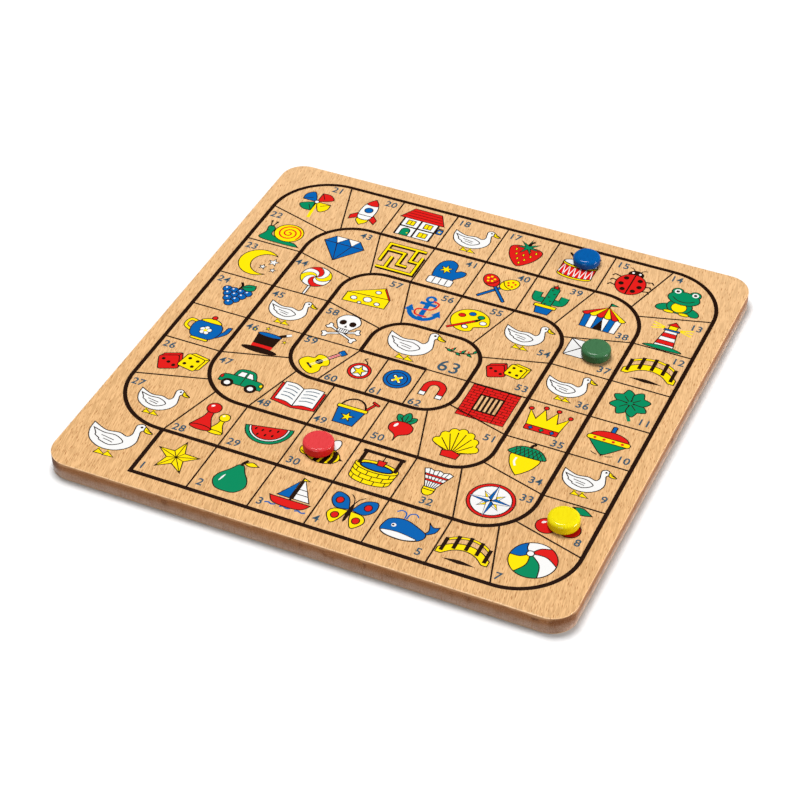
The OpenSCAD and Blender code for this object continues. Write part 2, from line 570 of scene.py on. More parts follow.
@dataclass(frozen=True)
class Finish:
    """What all finishes share: a material with one Principled shader.

    A ramp is given as two values and what they become, where that isn't 0 and 1.
    """

    name: str
    effects: Effects

    def start(self, constants: dict[str, float]) -> tuple[bpy.types.Material, Desk, bpy.types.Node]:
        """Starts the material.

        Args:
            constants: Plain values for the shader's inputs.

        Returns:
            The material, its desk and its shader.
        """
        material = bpy.data.materials.new(self.name)
        material.use_nodes = True
        shader = material.node_tree.nodes["Principled BSDF"]
        desk = Desk(material.node_tree)
        desk.feed(shader, constants)
        return material, desk, shader

    @staticmethod
    def wire(
        desk: Desk, shader: bpy.types.Node, colour: Any, rough: Any, height: Any, depth: float
    ) -> None:
        """Wires what changes over the surface into the shader, with a relief of a depth in metres."""
        relief = desk.node("Bump", {"Height": height, "Distance": depth, "Strength": 1.0}).outputs[0]
        desk.feed(shader, {"Base Color": colour, "Roughness": rough, "Normal": relief})


@dataclass(frozen=True)
class BeechFinish(Finish):
    """Satin varnished beech veneer. Painted light: a highlight on the eased edge, shaded where it faces
    right, and a sheen to the far side. Sizes are in metres.
    """

    pale: Colour = (0.62, 0.372, 0.174)
    dark: Colour = (0.335, 0.178, 0.062)
    fleck: Colour = (0.25, 0.095, 0.022)
    # Painted sheen: a paler, whiter tone towards the far side.
    straw: Colour = (0.6, 0.43, 0.265)
    # Painted highlight for the eased edge.
    arris: Colour = (0.78, 0.515, 0.28)
    # Painted shade: the plain tone that takes back the painted highlight where the eased edge faces right.
    worn: Colour = (0.57, 0.345, 0.17)
    band_tone: Ramp = (0.3, 0.7, 0.0, 0.06)
    streak_tone: Ramp = (0.4, 0.6, 0.14, 0.7)
    straw_share: Ramp = (-0.15, 0.15, 0.02, 0.2)
    upper_part: Ramp = (0.008, 0.01)
    eased_tilt: Ramp = (0.98, 0.6)
    worn_side: Ramp = (0.1, 0.5)
    rough: Ramp = (0.3, 0.7, 0.22, 0.3)
    fleck_share: float = 0.95
    streak_height: float = 0.5
    relief: float = 0.00002

    def material(self) -> bpy.types.Material:
        """Builds the material.

        Returns:
            The material.
        """
        constants = {"Specular IOR Level": 0.25, "Coat Weight": 0.04, "Coat Roughness": 0.2}
        material, desk, shader = self.start(constants)
        figure = desk.group(self.effects.figure).outputs
        streaks, flecks = figure["Streaks"], figure["Flecks"]
        broad = desk.ramp(figure["Bands"], *self.band_tone)
        tone = desk.math("ADD", broad, desk.ramp(streaks, *self.streak_tone))
        colour = desk.mix(tone, self.pale, self.dark)
        place, facing = desk.split(), desk.split("Normal")
        # Painted sheen: the face grows paler and whiter towards the far side, standing in for a glancing
        # reflection there.
        colour = desk.mix(desk.ramp(place["Y"], *self.straw_share), colour, self.straw)
        upper = desk.ramp(place["Z"], *self.upper_part)
        eased = desk.times(upper, desk.ramp(facing["Z"], *self.eased_tilt))
        # Painted highlight: the eased edge is paler where it tilts from the face, as its rounding would
        # catch the light from above.
        colour = desk.mix(eased, colour, self.arris)
        # Painted shade: where the eased edge faces right, the painted highlight gives way to a plain,
        # slightly darker tone.
        right = desk.ramp(facing["X"], *self.worn_side)
        colour = desk.mix(desk.times(eased, right), colour, self.worn)
        colour = desk.mix(desk.times(flecks, self.fleck_share), colour, self.fleck)
        height = desk.math("SUBTRACT", desk.times(streaks, self.streak_height), flecks)
        self.wire(desk, shader, colour, desk.ramp(streaks, *self.rough), height, self.relief)
        return material


@dataclass(frozen=True)
class FibreboardFinish(Finish):
    """Sanded and sealed edge of a fibreboard panel, with a dark dense skin under its face, a painted
    highlight in a pale band just under it, and a painted floor reflection that grows paler towards the
    foot, paler still on the right-hand side.

    Sizes are in metres and grains in numbers a metre.
    """

    core: Colour = (0.275, 0.158, 0.096)
    skin: Colour = (0.24, 0.098, 0.036)
    # Painted reflection of the floor at the foot of the edge; the pale fibres take this colour as well.
    foot: Colour = (0.385, 0.25, 0.172)
    # Painted light: the foot of the right-hand side, paler still as if lit from the right.
    bare_foot: Colour = (0.6, 0.415, 0.315)
    # Painted highlight for the pale band just under the face.
    crest: Colour = (0.46, 0.25, 0.12)
    burn: Colour = (0.075, 0.023, 0.007)
    top: float = 0.0105
    bottom: float = 0.0005
    skin_from: float = 0.0082
    skin_to: float = 0.002
    foot_high: float = 0.0035
    crest_from: float = 0.0018
    crest_to: float = 0.0004
    wander: float = 0.0035
    turn_part: Ramp = (0.137, 0.1435)
    bare_side: Ramp = (0.6, 0.95)
    stroke_share: Ramp = (0.48, 0.66, 0.0, 0.5)
    dark_fibres: Ramp = (0.5, 0.34, 0.0, 0.45)
    scorch_share: Ramp = (0.54, 0.7, 0.0, 0.7)
    turn_share: Ramp = (0.0, 1.0, 0.42, 0.7)
    pale_fibres: Ramp = (0.52, 0.7, 0.0, 0.3)
    crest_share: float = 0.6
    crest_turn: Ramp = (0.0, 1.0, 1.0, 0.15)
    coat: Ramp = (0.0, 0.8, 1.0, 0.02)
    rough: Ramp = (0.3, 0.7, 0.38, 0.56)
    fibre_grain: float = 1800.0
    blotch_grain: float = 140.0
    stroke_grain: Triple = (1100.0, 1100.0, 110.0)
    relief: float = 0.00008

    def material(self) -> bpy.types.Material:
        """Builds the material.

        Returns:
            The material.
        """
        material, desk, shader = self.start({"Specular IOR Level": 0.03, "Coat Roughness": 0.17})
        fibres = desk.group(self.effects.speckle, Grain=self.fibre_grain).outputs["Fine"]
        blotch = desk.group(self.effects.speckle, Grain=self.blotch_grain).outputs["Fine"]
        drawn = {"Vector": desk.scaled(desk.where(), self.stroke_grain), "Scale": 1.0, "Detail": 3.0}
        strokes = desk.node("TexNoise", drawn).outputs[0]
        place = desk.split()
        edge = desk.math("ADD", place["Z"], desk.times(desk.math("SUBTRACT", blotch, 0.5), self.wander))
        upper = desk.ramp(edge, self.top - self.skin_from, self.top - self.skin_to)
        # Painted reflection: the edge grows paler towards its foot, standing in for light from the white
        # floor.
        lower = desk.ramp(edge, self.bottom + self.foot_high, self.bottom)
        # Painted light: on the right-hand side the foot turns paler still, standing in for the light from
        # the right.
        right = desk.ramp(desk.split("Normal")["X"], *self.bare_side)
        foot = desk.mix(right, self.foot, self.bare_foot)
        colour = desk.mix(upper, desk.mix(lower, self.core, foot), self.skin)
        colour = desk.mix(desk.ramp(strokes, *self.stroke_share), colour, self.skin)
        colour = desk.mix(desk.ramp(fibres, *self.dark_fibres), colour, self.burn)
        scorch = desk.times(upper, desk.ramp(blotch, *self.scorch_share))
        colour = desk.mix(scorch, colour, self.burn)
        sides = [desk.math("ABSOLUTE", place[n]) for n in "XY"]
        turn = desk.ramp(desk.math("MINIMUM", *sides), *self.turn_part)
        colour = desk.mix(desk.times(turn, desk.ramp(upper, *self.turn_share)), colour, self.burn)
        colour = desk.mix(desk.ramp(fibres, *self.pale_fibres), colour, self.foot)
        # Painted highlight: a pale band just under the face, where a rounded edge would catch the light
        # from above; weaker at the corners.
        rim = desk.ramp(
            edge, self.top - self.crest_from, self.top - self.crest_to, to_high=self.crest_share
        )
        rim = desk.times(rim, desk.ramp(turn, *self.crest_turn))
        colour = desk.mix(rim, colour, self.crest)
        desk.feed(shader, {"Coat Weight": desk.ramp(upper, *self.coat)})
        rough = desk.ramp(fibres, *self.rough)
        self.wire(desk, shader, colour, rough, desk.math("ADD", fibres, strokes), self.relief)
        return material


@dataclass(frozen=True)
class InkFinish(Finish):
    """Screen ink on veneer: dense, satin, with the grain just felt through it."""

    ink: Colour
    thin: Colour
    grain: float = 3500.0
    fleck_share: float = 0.12
    spot_share: float = 0.1
    rough: Ramp = (0.3, 0.7, 0.36, 0.5)
    relief: float = 0.000012

    def material(self) -> bpy.types.Material:
        """Builds the material.

        Returns:
            The material.
        """
        material, desk, shader = self.start({"Specular IOR Level": 0.03})
        flecks = desk.group(self.effects.figure).outputs["Flecks"]
        speck = desk.group(self.effects.speckle, Grain=self.grain).outputs
        spots = desk.times(speck["Spots"], self.spot_share)
        # Real wear here, no painted light: the ink lies thin over grain flecks and in spots.
        worn = desk.math("MAXIMUM", desk.times(flecks, self.fleck_share), spots)
        colour = desk.mix(worn, self.ink, self.thin)
        rough = desk.ramp(speck["Fine"], *self.rough)
        height = desk.math("SUBTRACT", speck["Fine"], flecks)
        self.wire(desk, shader, colour, rough, height, self.relief)
        return material


@dataclass(frozen=True)
class PaintFinish(Finish):
    """Gloss paint on turned wood, with the grain faintly telling through; its upright sides take a darker
    copy of the paint, a painted shade.
    """

    paint: Colour
    deep: Colour
    # Painted shade: the darker colour of the upright sides.
    side: Colour
    across: float = 900.0
    along: float = 160.0
    grain: float = 700.0
    streak_tone: Ramp = (0.4, 0.75)
    streak_share: float = 0.5
    spot_share: float = 0.35
    side_tilt: Ramp = (0.75, 0.1)
    rough: Ramp = (0.3, 0.7, 0.26, 0.4)
    relief: float = 0.00004

    def material(self) -> bpy.types.Material:
        """Builds the material.

        Returns:
            The material.
        """
        constants = {"Specular IOR Level": 0.01, "Coat Weight": 0.26, "Coat Roughness": 0.09}
        material, desk, shader = self.start(constants)
        figure = desk.group(self.effects.figure, Across=self.across, Along=self.along)
        streaks = figure.outputs["Streaks"]
        speck = desk.group(self.effects.speckle, Grain=self.grain).outputs
        tone = desk.times(desk.ramp(streaks, *self.streak_tone), self.streak_share)
        tone = desk.math("MAXIMUM", tone, desk.times(speck["Spots"], self.spot_share))
        colour = desk.mix(tone, self.paint, self.deep)
        # Painted shade: the upright sides take the darker side colour, standing in for the shade they lie
        # in.
        colour = desk.mix(desk.ramp(desk.split("Normal")["Z"], *self.side_tilt), colour, self.side)
        rough = desk.ramp(speck["Fine"], *self.rough)
        self.wire(desk, shader, colour, rough, desk.math("ADD", streaks, speck["Fine"]), self.relief)
        return material


@dataclass(frozen=True)
class FloorFinish(Finish):
    """Plain white paper sweep, lit up in itself away from the board. Sizes are in metres."""

    paper: Colour = (0.64, 0.64, 0.64)
    tooth: Colour = (0.61, 0.61, 0.61)
    unlit: Colour = (0.0, 0.0, 0.0)
    lit: Colour = (1.0, 1.0, 1.0)
    lit_part: Ramp = (0.7, 1.5)
    rough: Ramp = (0.3, 0.7, 0.8, 0.9)
    grain: float = 600.0
    relief: float = 0.00002

    def material(self) -> bpy.types.Material:
        """Builds the material.

        Returns:
            The material.
        """
        material, desk, shader = self.start({"Specular IOR Level": 0.2, "Emission Strength": 1.0})
        speck = desk.group(self.effects.speckle, Grain=self.grain).outputs
        colour = desk.mix(speck["Spots"], self.paper, self.tooth)
        away = desk.node("VectorMath", {0: desk.where()}, operation="LENGTH").outputs["Value"]
        glow = desk.mix(desk.ramp(away, *self.lit_part), self.unlit, self.lit)
        desk.feed(shader, {"Emission Color": glow})
        rough = desk.ramp(speck["Fine"], *self.rough)
        self.wire(desk, shader, colour, rough, speck["Fine"], self.relief)
        return material


# Pictures of the spaces


class PictureBook(Pen):
    """The pictures of the spaces, each drawn upright about its own middle.

    A picture is drawn in hundredths of its half width, so from -100 to 100 each way.
    """

    units: ClassVar[float] = 100.0

    def place(self, x: float, y: float, size: float) -> None:
        """Starts a new picture, with half its width in millimetres as its size."""
        super().place(x, y, size / self.units)

    def by_space(self) -> dict[int, Callable[[], None]]:
        """Says which picture each space has.

        Returns:
            The method that draws it, by the space's number.
        """
        return {
            **dict.fromkeys(range(9, FINISH, 9), self.goose),
            1: self.star, 2: self.pear, 3: self.sailboat, 4: self.butterfly, 5: self.whale,
            6: self.bridge, 7: self.ball, 8: self.cherries, 10: self.top, 11: self.clover,
            12: self.bridge, 13: self.lighthouse, 14: self.frog, 15: self.ladybird, 16: self.drum,
            17: self.strawberry, 19: self.inn, 20: self.rocket, 21: self.pinwheel, 22: self.snail,
            23: self.moon, 24: self.grapes, 25: self.teapot, 26: self.dice, 28: self.pawns,
            29: self.melon, 30: self.bee, 31: self.well, 32: self.shuttlecock, 33: self.compass,
            34: self.acorn, 35: self.crown, 37: self.envelope, 38: self.tent, 39: self.cactus,
            40: self.maracas, 41: self.mitten, 42: self.maze, 43: self.gem, 44: self.lollipop,
            46: self.hat, 47: self.car, 48: self.book, 49: self.pail, 50: self.radish,
            51: self.shell, 52: self.jail, 53: self.dice, 55: self.palette, 56: self.anchor,
            57: self.cheese, 58: self.skull, 59: self.guitar, 60: self.reel, 61: self.button,
            62: self.magnet,
        }

    def goose(self) -> None:
        """Draws a standing goose that looks to the right."""
        for x in (-22, 12):
            self.line([(x, -50), (x + 2, -80)], 2.4, Ink.YELLOW)
            self.fill(Ink.YELLOW, [(x, -70), (x + 32, -90), (x - 8, -93)], 0.8)
        tail = (-102, 44)
        nape = [(56, 95), (40, 84), (42, 62), (46, 36), (34, 20), (2, 28), (-46, 22)]
        rump = [tail, tail, (-98, 0), (-76, -38), (-30, -62), (22, -60)]
        breast = [(62, -34), (78, 2), (72, 36), (66, 58), (75, 72), (71, 88)]
        self.blob(Ink.WHITE, *nape, *rump, *breast)
        self.blob(Ink.YELLOW, (72, 86), (90, 75), (108, 64), (92, 59), (75, 65))
        self.line([(106, 65), (80, 73)], 0.7)
        tip = (-90, 18)
        lower = [(-70, -6), (-70, -6), (-68, -14), (-48, -24), (-48, -24), (-42, -32)]
        self.blob(Ink.WHITE, (36, -12), (0, 10), (-46, 8), tip, tip, *lower, (2, -40))
        self.curve([(4, -14), (-20, -10), (-48, -6)], 0.8)
        self.curve([(4, -26), (-16, -22), (-34, -20)], 0.8)
        self.dots(Ink.LINE, 5, (59, 80))

    def bridge(self) -> None:
        """Draws a humped yellow bridge with dark posts and a rail."""
        hump = bend([(-108, -28), (-60, 8), (0, 22), (60, 8), (108, -28)])
        under = bend([(84, -56), (46, -24), (0, -12), (-46, -24), (-84, -56)])
        self.fill(Ink.YELLOW, hump + [(108, -56)] + under + [(-108, -56)])
        rail = [(x, y + 34) for x, y in hump if abs(x) < 93]
        self.tube(rail, 3.4, 1.8, Ink.YELLOW)
        for x, y in ((-90, -12), (-48, 13), (0, 22), (48, 13), (90, -12)):
            self.line([(x, y - 30), (x, y + 46)], 3.6)
        self.fill(Ink.LINE, bend([(-70, -78), (0, -66), (70, -78)]) + [(0, -86)], 0.0)

    def inn(self) -> None:
        """Draws a timbered inn with a hanging sign."""
        self.fill(Ink.WHITE, plate(-78, -95, 78, 30))
        self.fill(Ink.RED, [(-100, 26), (100, 26), (62, 98), (-62, 98)])
        for y in (44, 62, 80):
            half = 100 - 38 * (y - 26) / 72
            self.line([(-half + 4, y), (half - 4, y)], 0.7)
        for x in (-78, 0, 78):
            self.line([(x, -95), (x, 26)], 2.0)
        self.line([(-78, -32), (78, -32)], 2.0)
        for x in (-39, 39):
            self.fill(Ink.YELLOW, plate(x - 17, -18, x + 17, 14))
            self.line([(x, -18), (x, 14)], 0.8)
        self.fill(Ink.GREEN, arc(-39, -62, 19, 0, 180) + [(-58, -95), (-20, -95)])
        self.dots(Ink.YELLOW, 3.5, (-28, -74))
        self.fill(Ink.YELLOW, plate(20, -82, 58, -50))
        self.line([(39, -82), (39, -50)], 0.8)
        self.line([(78, 6), (108, 6)], 1.4)
        self.fill(Ink.BLUE, plate(84, -32, 110, 0, 5))
        self.fill(Ink.YELLOW, rays(97, -16, 4, 10, 5), 0.0)

    def dice(self) -> None:
        """Draws two tumbled dice."""
        for ink, x, y, turn, spots in (
            (Ink.RED, -48, -20, 24, ((-22, 22), (0, 0), (22, -22))),
            (Ink.YELLOW, 42, 14, -10, ((-20, 20), (20, 20), (-20, -20), (20, -20))),
        ):
            face = plate(-44, -44, 44, 44, 12)
            back = [(40, -38), (58, -20), (58, 54), (54, 58), (-20, 58), (-38, 40)]
            self.fill(ink, moved(back, x, y, turn))
            self.line(moved([(36, 36), (56, 56)], x, y, turn))
            self.fill(ink, moved(face, x, y, turn))
            self.dots(Ink.LINE, 8.5, *moved(list(spots), x, y, turn))

    def well(self) -> None:
        """Draws a round stone well with a winch and a bucket over it."""
        self.fill(Ink.YELLOW, [(-92, 12)] + arc(0, -60, 86, 180, 360, 32) + [(92, 12)])
        self.fill(Ink.YELLOW, oval(0, 12, 92, 32))
        self.fill(Ink.BLUE, oval(0, 10, 68, 19), 1.6)
        rows = [(12 - 24 * i, 92 - 2 * i) for i in range(4)]
        for y, r in rows[1:3]:
            self.line(arc(0, y, r, 186, 354, 32), 0.9)
        for i, pair in enumerate(zip(rows, rows[1:])):
            for x in (-45, 5, 50) if i % 2 else (-68, -22, 24, 68):
                self.line([(x, y - 32 * math.sqrt(1 - (x / r) ** 2)) for y, r in pair], 0.9)
        for x in (-76, 76):
            self.line([(x, 10), (x, 90)], 3.8)
        self.line([(-90, 88), (90, 88)], 3.8)
        self.line([(8, 88), (8, 54)], 1.2)
        self.fill(Ink.RED, [(-10, 54), (26, 54), (21, 24), (-5, 24)])

    def maze(self) -> None:
        """Draws a square maze of yellow walls with dark sides."""
        walls = [[(-92, -92), (92, -92), (92, 48)], [(92, 92), (-92, 92), (-92, -46)]]
        walls += [[(-46, -92), (-46, 2)], [(-92, 46), (0, 46), (0, -46), (48, -46)]]
        walls += [[(46, 92), (46, 0), (92, 0)]]
        for wall in walls:
            self.line([(x + 5, y - 7) for x, y in wall], 4.6)
        for wall in walls:
            self.line(wall, 4.2)
        for wall in walls:
            self.line(wall, 2.4, Ink.YELLOW)

    def jail(self) -> None:
        """Draws a barred window in a brick wall."""
        for x in (-76, 76):
            self.fill(Ink.RED, plate(x - 26, -98, x + 26, 98), 0.8)
        for y in (-73.5, 73.5):
            self.fill(Ink.RED, plate(-50, y - 24.5, 50, y + 24.5), 0.8)
        for i in range(12):
            y = -98 + 196 * i / 12
            beside = 2 < i < 9
            for part in ((-102, -50), (50, 102)) if beside or i == 9 else ((-102, 102),):
                self.line([(x, y) for x in part], 0.6)
            for j in range(7):
                x = -102 + 34 * j + (17 if i % 2 else 0)
                if -100 < x < 100 and not (beside and abs(x) < 50):
                    self.line([(x, y), (x, y + 196 / 12)], 0.6)
        self.line([(-50, -49), (50, -49), (50, 49), (-50, 49), (-50, -49)], 1.8)
        for x in (-30, -10, 10, 30):
            self.line([(x, -49), (x, 49)], 2.3)

    def skull(self) -> None:
        """Draws a skull over crossed bones."""
        end = [(60, 7), (74, 19), (92, 16), (88, 0), (92, -16), (74, -19), (60, -7)]
        bone = twin((0, 8), end, (0, -8))
        for turn in (24, -24):
            self.fill(Ink.WHITE, moved(bone, 0, -48, turn))
        jaw = [(40, -62), (36, -90), (0, -96), (-36, -90), (-40, -62)]
        side = [(62, -30), (84, 22), (56, 76), (0, 94), (-56, 76), (-84, 22), (-62, -30)]
        self.fill(Ink.WHITE, moved(loop(*jaw, *side[::-1]), 0, 26, 0, 0.72))
        for x in (-25, 25):
            self.fill(Ink.LINE, oval(x, 30, 17, 19, 0.48 * x), 0.0)
        self.fill(Ink.LINE, [(0, 14), (8, -3), (-8, -3)], 0.0)
        for x in (-16, -5, 5, 16):
            self.line([(x, -17), (x, -38)], 0.8)
        self.line([(-26, -16), (26, -16)], 0.8)

    def star(self) -> None:
        """Draws a faceted star."""
        self.fill(Ink.YELLOW, rays(0, -6, 42, 102, 5))
        for i in range(5):
            a = math.radians(90 + 72 * i)
            self.line([(0, -6), (96 * math.cos(a), 96 * math.sin(a) - 6)], 0.8)
            b = a + math.radians(36)
            self.line([(0, -6), (40 * math.cos(b), 40 * math.sin(b) - 6)], 0.8)

    def pear(self) -> None:
        """Draws a pear."""
        right = [(14, 62), (32, 30), (62, -10), (70, -50), (44, -88)]
        self.fill(Ink.GREEN, twin((0, 68), right, (0, -96)))
        self.blob(Ink.WHITE, (-42, -20), (-34, -8), (-38, -36), (-46, -50), edge=0.0)
        self.curve([(0, 62), (2, 80), (14, 100)], 3.0)
        self.blob(Ink.YELLOW, (6, 78), (6, 78), (36, 96), (68, 82), (68, 82), (34, 70))

    def sailboat(self) -> None:
        """Draws a sailing boat."""
        self.line([(0, -50), (0, 100)], 2.4)
        self.fill(Ink.WHITE, [(8, 92), (8, -34), (84, -34)])
        self.fill(Ink.BLUE, [(-8, 78), (-8, -34), (-66, -34)])
        self.line([(8, 30), (46, 30)], 0.9)
        self.line([(8, 0), (64, 0)], 0.9)
        self.blob(Ink.RED, (-94, -46), (-94, -46), (96, -46), (96, -46), (58, -86), (-56, -86))
        self.fill(Ink.YELLOW, [(0, 100), (30, 90), (0, 82)])
        for x in (-70, 0, 70):
            wave = bend([(x - 24, -98), (x - 8, -92), (x + 8, -98), (x + 24, -92)])
            self.line(wave, 1.6, Ink.BLUE)

    def butterfly(self) -> None:
        """Draws a butterfly."""
        upper = loop((6, 10), (6, 10), (34, 72), (86, 88), (96, 42), (62, 2))
        lower = loop((6, 2), (6, 2), (62, -6), (80, -42), (46, -86), (20, -50))
        for wing, ink, spot in ((lower, Ink.YELLOW, (46, -40)), (upper, Ink.BLUE, (62, 46))):
            self.fill(ink, wing)
            self.fill(ink, mirrored(wing))
            for x in (spot[0], -spot[0]):
                self.fill(Ink.RED, oval(x, spot[1], 16, 18))
        self.fill(Ink.LINE, oval(0, -8, 9, 56), 0.0)
        for side in (-1, 1):
            self.curve([(0, 42), (10 * side, 74), (30 * side, 94)], 1.0)

    def ball(self) -> None:
        """Draws a striped beach ball."""
        x0, y0 = -22, 30
        inks = (Ink.RED, Ink.WHITE, Ink.BLUE, Ink.YELLOW, Ink.GREEN, Ink.WHITE)
        for i, ink in enumerate(inks):
            rim = arc(0, 0, 96, 60 * i, 60 * i + 60)
            ends = []
            for x, y in (rim[-1], rim[0]):
                mid = (0.5 * (x0 + x) - 0.16 * (y - y0), 0.5 * (y0 + y) + 0.16 * (x - x0))
                ends.append(bend([(x, y), mid, (x0, y0)]))
            self.fill(ink, rim[:-1] + ends[0] + ends[1][::-1][1:-1])
        self.fill(Ink.WHITE, oval(x0, y0, 15))

    def cherries(self) -> None:
        """Draws two cherries on their stalks."""
        for x, y in ((-48, -50), (44, -36)):
            self.curve([(x, y + 30), (0.5 * x, 40), (14, 92)], 1.6)
            self.fill(Ink.RED, oval(x, y, 44, 42))
            self.fill(Ink.WHITE, oval(x - 16, y + 16, 10, 6, 40), 0.0)
        self.blob(Ink.GREEN, (14, 92), (14, 92), (50, 98), (96, 70), (96, 70), (50, 60))

    def top(self) -> None:
        """Draws a spinning top."""
        self.fill(Ink.BLUE, plate(-9, 50, 9, 96, 6))
        self.fill(Ink.RED, arc(0, 14, 84, 0, 180, 44))
        body = [(-84, -6), (-84, -6), (84, -6), (84, -6), (44, -50), (7, -86), (-7, -86)]
        self.blob(Ink.GREEN, *body, (-44, -50))
        self.fill(Ink.YELLOW, plate(-94, -10, 94, 18, 13))
        for x in (-60, -20, 20, 60):
            self.dots(Ink.RED, 7, (x, 4))
        self.fill(Ink.LINE, [(-7, -84), (7, -84), (0, -102)], 0.0)
        self.line(arc(0, -74, 50, 200, 250, 20), 0.9)
        self.line(arc(0, -74, 50, 290, 340, 20), 0.9)

    def clover(self) -> None:
        """Draws a four-leaved clover."""
        leaf = loop((0, 6), (0, 6), (40, 38), (34, 80), (0, 66), (0, 66), (-34, 80), (-40, 38))
        self.curve([(2, 10), (10, -50), (34, -100)], 3.2, Ink.GREEN)
        for i in range(4):
            self.fill(Ink.GREEN, moved(leaf, 0, 10, 45 + 90 * i))
            self.line(moved([(0, 12), (0, 50)], 0, 10, 45 + 90 * i), 0.9)
        self.fill(Ink.GREEN, oval(0, 10, 12, count=18), 0.0)

    def lighthouse(self) -> None:
        """Draws a striped lighthouse."""
        self.fill(Ink.WHITE, [(-44, -80), (44, -80), (26, 40), (-26, 40)])
        for y in (-62, -10):
            a, b = 44 - 0.15 * (y + 80), 44 - 0.15 * (y + 106)
            self.fill(Ink.RED, [(-a, y), (a, y), (b, y + 26), (-b, y + 26)])
        self.fill(Ink.YELLOW, plate(-19, 40, 19, 70))
        self.fill(Ink.BLUE, plate(-34, 34, 34, 44))
        self.fill(Ink.RED, [(-28, 70), (28, 70), (0, 98)])
        self.blob(Ink.GREEN, (-86, -94), (-40, -76), (40, -76), (86, -94), (0, -100))
        for side in (-1, 1):
            for y in (42, 55, 68):
                beam = [(34 * side, 50 + 0.3 * (y - 55)), (90 * side, 50 + 1.6 * (y - 55))]
                self.line(beam, 1.4, Ink.YELLOW)

    def ladybird(self) -> None:
        """Draws a ladybird from above."""
        for side in (-1, 1):
            for y in (20, -16, -50):
                self.line([(50 * side, y), (86 * side, y + 10), (96 * side, y - 4)], 1.5)
            self.curve([(12 * side, 74), (22 * side, 92), (40 * side, 98)], 1.1)
        self.fill(Ink.LINE, oval(0, 56, 36, 30), 0.0)
        self.fill(Ink.RED, oval(0, -18, 68, 74))
        self.line([(0, 56), (0, -90)], 1.4)
        spots = ((32, 20), (42, -24), (24, -60))
        self.dots(Ink.LINE, 12, *spots, *mirrored(list(spots)))
        self.dots(Ink.WHITE, 6, (-16, 66), (16, 66))

    def drum(self) -> None:
        """Draws a drum with two sticks."""
        side = arc(0, -62, 78, 180, 360, 24)
        self.fill(Ink.RED, side + arc(0, 20, 78, 0, 180, 24))
        for i in range(6):
            x, y = -78 + 26 * i, -60 - 16 * math.sin(math.pi * i / 6)
            self.line([(x, y), (x + 13, y + 72), (x + 26, y - 2)], 1.3, Ink.WHITE)
        for y in (-62, 20):
            low = arc(0, y, 80, 180, 360, 24)
            self.fill(Ink.YELLOW, low + [(x, v + 12) for x, v in low[::-1]])
        self.fill(Ink.WHITE, oval(0, 32, 78, 22))
        for side_x in (-1, 1):
            self.line([(12 * side_x, 30), (72 * side_x, 94)], 2.4)
            self.fill(Ink.BLUE, oval(10 * side_x, 30, 9))

    def strawberry(self) -> None:
        """Draws a strawberry."""
        right = [(40, 52), (76, 32), (66, -24), (34, -72)]
        self.fill(Ink.RED, twin((0, 46), right, (0, -98)))
        rows = {20: (-46, -14, 18, 50), -12: (-34, 0, 34), -44: (-18, 16), -72: (0,)}
        for y, xs in rows.items():
            for x in xs:
                self.fill(Ink.YELLOW, oval(x, y, 5, 8, count=12), 0.6)
        self.fill(Ink.GREEN, rays(0, 52, 16, 56, 7))
        self.curve([(0, 60), (4, 84), (16, 100)], 2.4)

    def rocket(self) -> None:
        """Draws a rocket on its fire."""
        self.blob(Ink.YELLOW, (-22, -50), (22, -50), (26, -74), (0, -102), (0, -102), (-26, -74))
        self.fill(Ink.RED, [(-30, -10), (-66, -46), (-62, -78), (-26, -50)])
        self.fill(Ink.RED, [(30, -10), (66, -46), (62, -78), (26, -50)])
        tip, right, left = (0, 102), (30, 56), (-30, 56)
        self.blob(Ink.WHITE, tip, tip, right, (38, 6), (26, -54), (-26, -54), (-38, 6), left)
        self.blob(Ink.RED, tip, tip, (20, 78), right, right, (0, 50), left, left, (-20, 78))
        self.fill(Ink.BLUE, oval(0, 14, 19))
        self.line([(-34, -28), (34, -28)], 1.0)

    def pinwheel(self) -> None:
        """Draws a paper pinwheel on its stick."""
        self.line([(0, 20), (14, -104)], 3.4, Ink.YELLOW)
        for i, ink in enumerate((Ink.RED, Ink.BLUE, Ink.GREEN, Ink.YELLOW)):
            hub, corner = (0, 0), (0, 70)
            blade = loop(hub, hub, corner, corner, (40, 70), (66, 36), hub)
            self.fill(ink, moved(blade, 0, 20, 90 * i))
            self.line(moved([(0, 70), (26, 30)], 0, 20, 90 * i), 0.9)
        self.fill(Ink.WHITE, oval(0, 20, 11))

    def snail(self) -> None:
        """Draws a snail."""
        foot = [(-96, -80), (-86, -30), (-92, 12), (-72, 20), (-56, 2), (-50, -42), (20, -60)]
        self.blob(Ink.GREEN, *foot, (70, -64), (100, -84), (100, -84), (20, -88))
        for x in (-94, -68):
            self.line([(0.35 * x - 52, 14), (x, 50)], 1.3)
            self.dots(Ink.LINE, 6, (x, 52))
        self.fill(Ink.YELLOW, oval(16, -2, 68, 64))
        turns = []
        for i in range(46):
            a, r = 0.34 * i - 0.6, 58 * (1 - i / 48)
            turns.append((16 + r * math.cos(a), -2 + r * math.sin(a)))
        self.line(turns, 1.5, Ink.RED)
        self.curve([(-90, -10), (-84, -16), (-76, -14)], 0.8)

    def grapes(self) -> None:
        """Draws a bunch of grapes."""
        self.curve([(0, 50), (4, 78), (-10, 100)], 2.6)
        rows = {34: (-50, -17, 17, 50), 6: (-34, 0, 34), -24: (-20, 18), -52: (0,)}
        for y, xs in rows.items():
            for x in xs:
                self.fill(Ink.BLUE, oval(x, y, 21, count=20))
                self.fill(Ink.WHITE, oval(x - 7, y + 8, 4.5, count=10), 0.0)
        self.blob(Ink.GREEN, (2, 66), (2, 66), (26, 94), (62, 98), (62, 98), (66, 66), (36, 50))
        self.line([(6, 68), (50, 84)], 0.8)

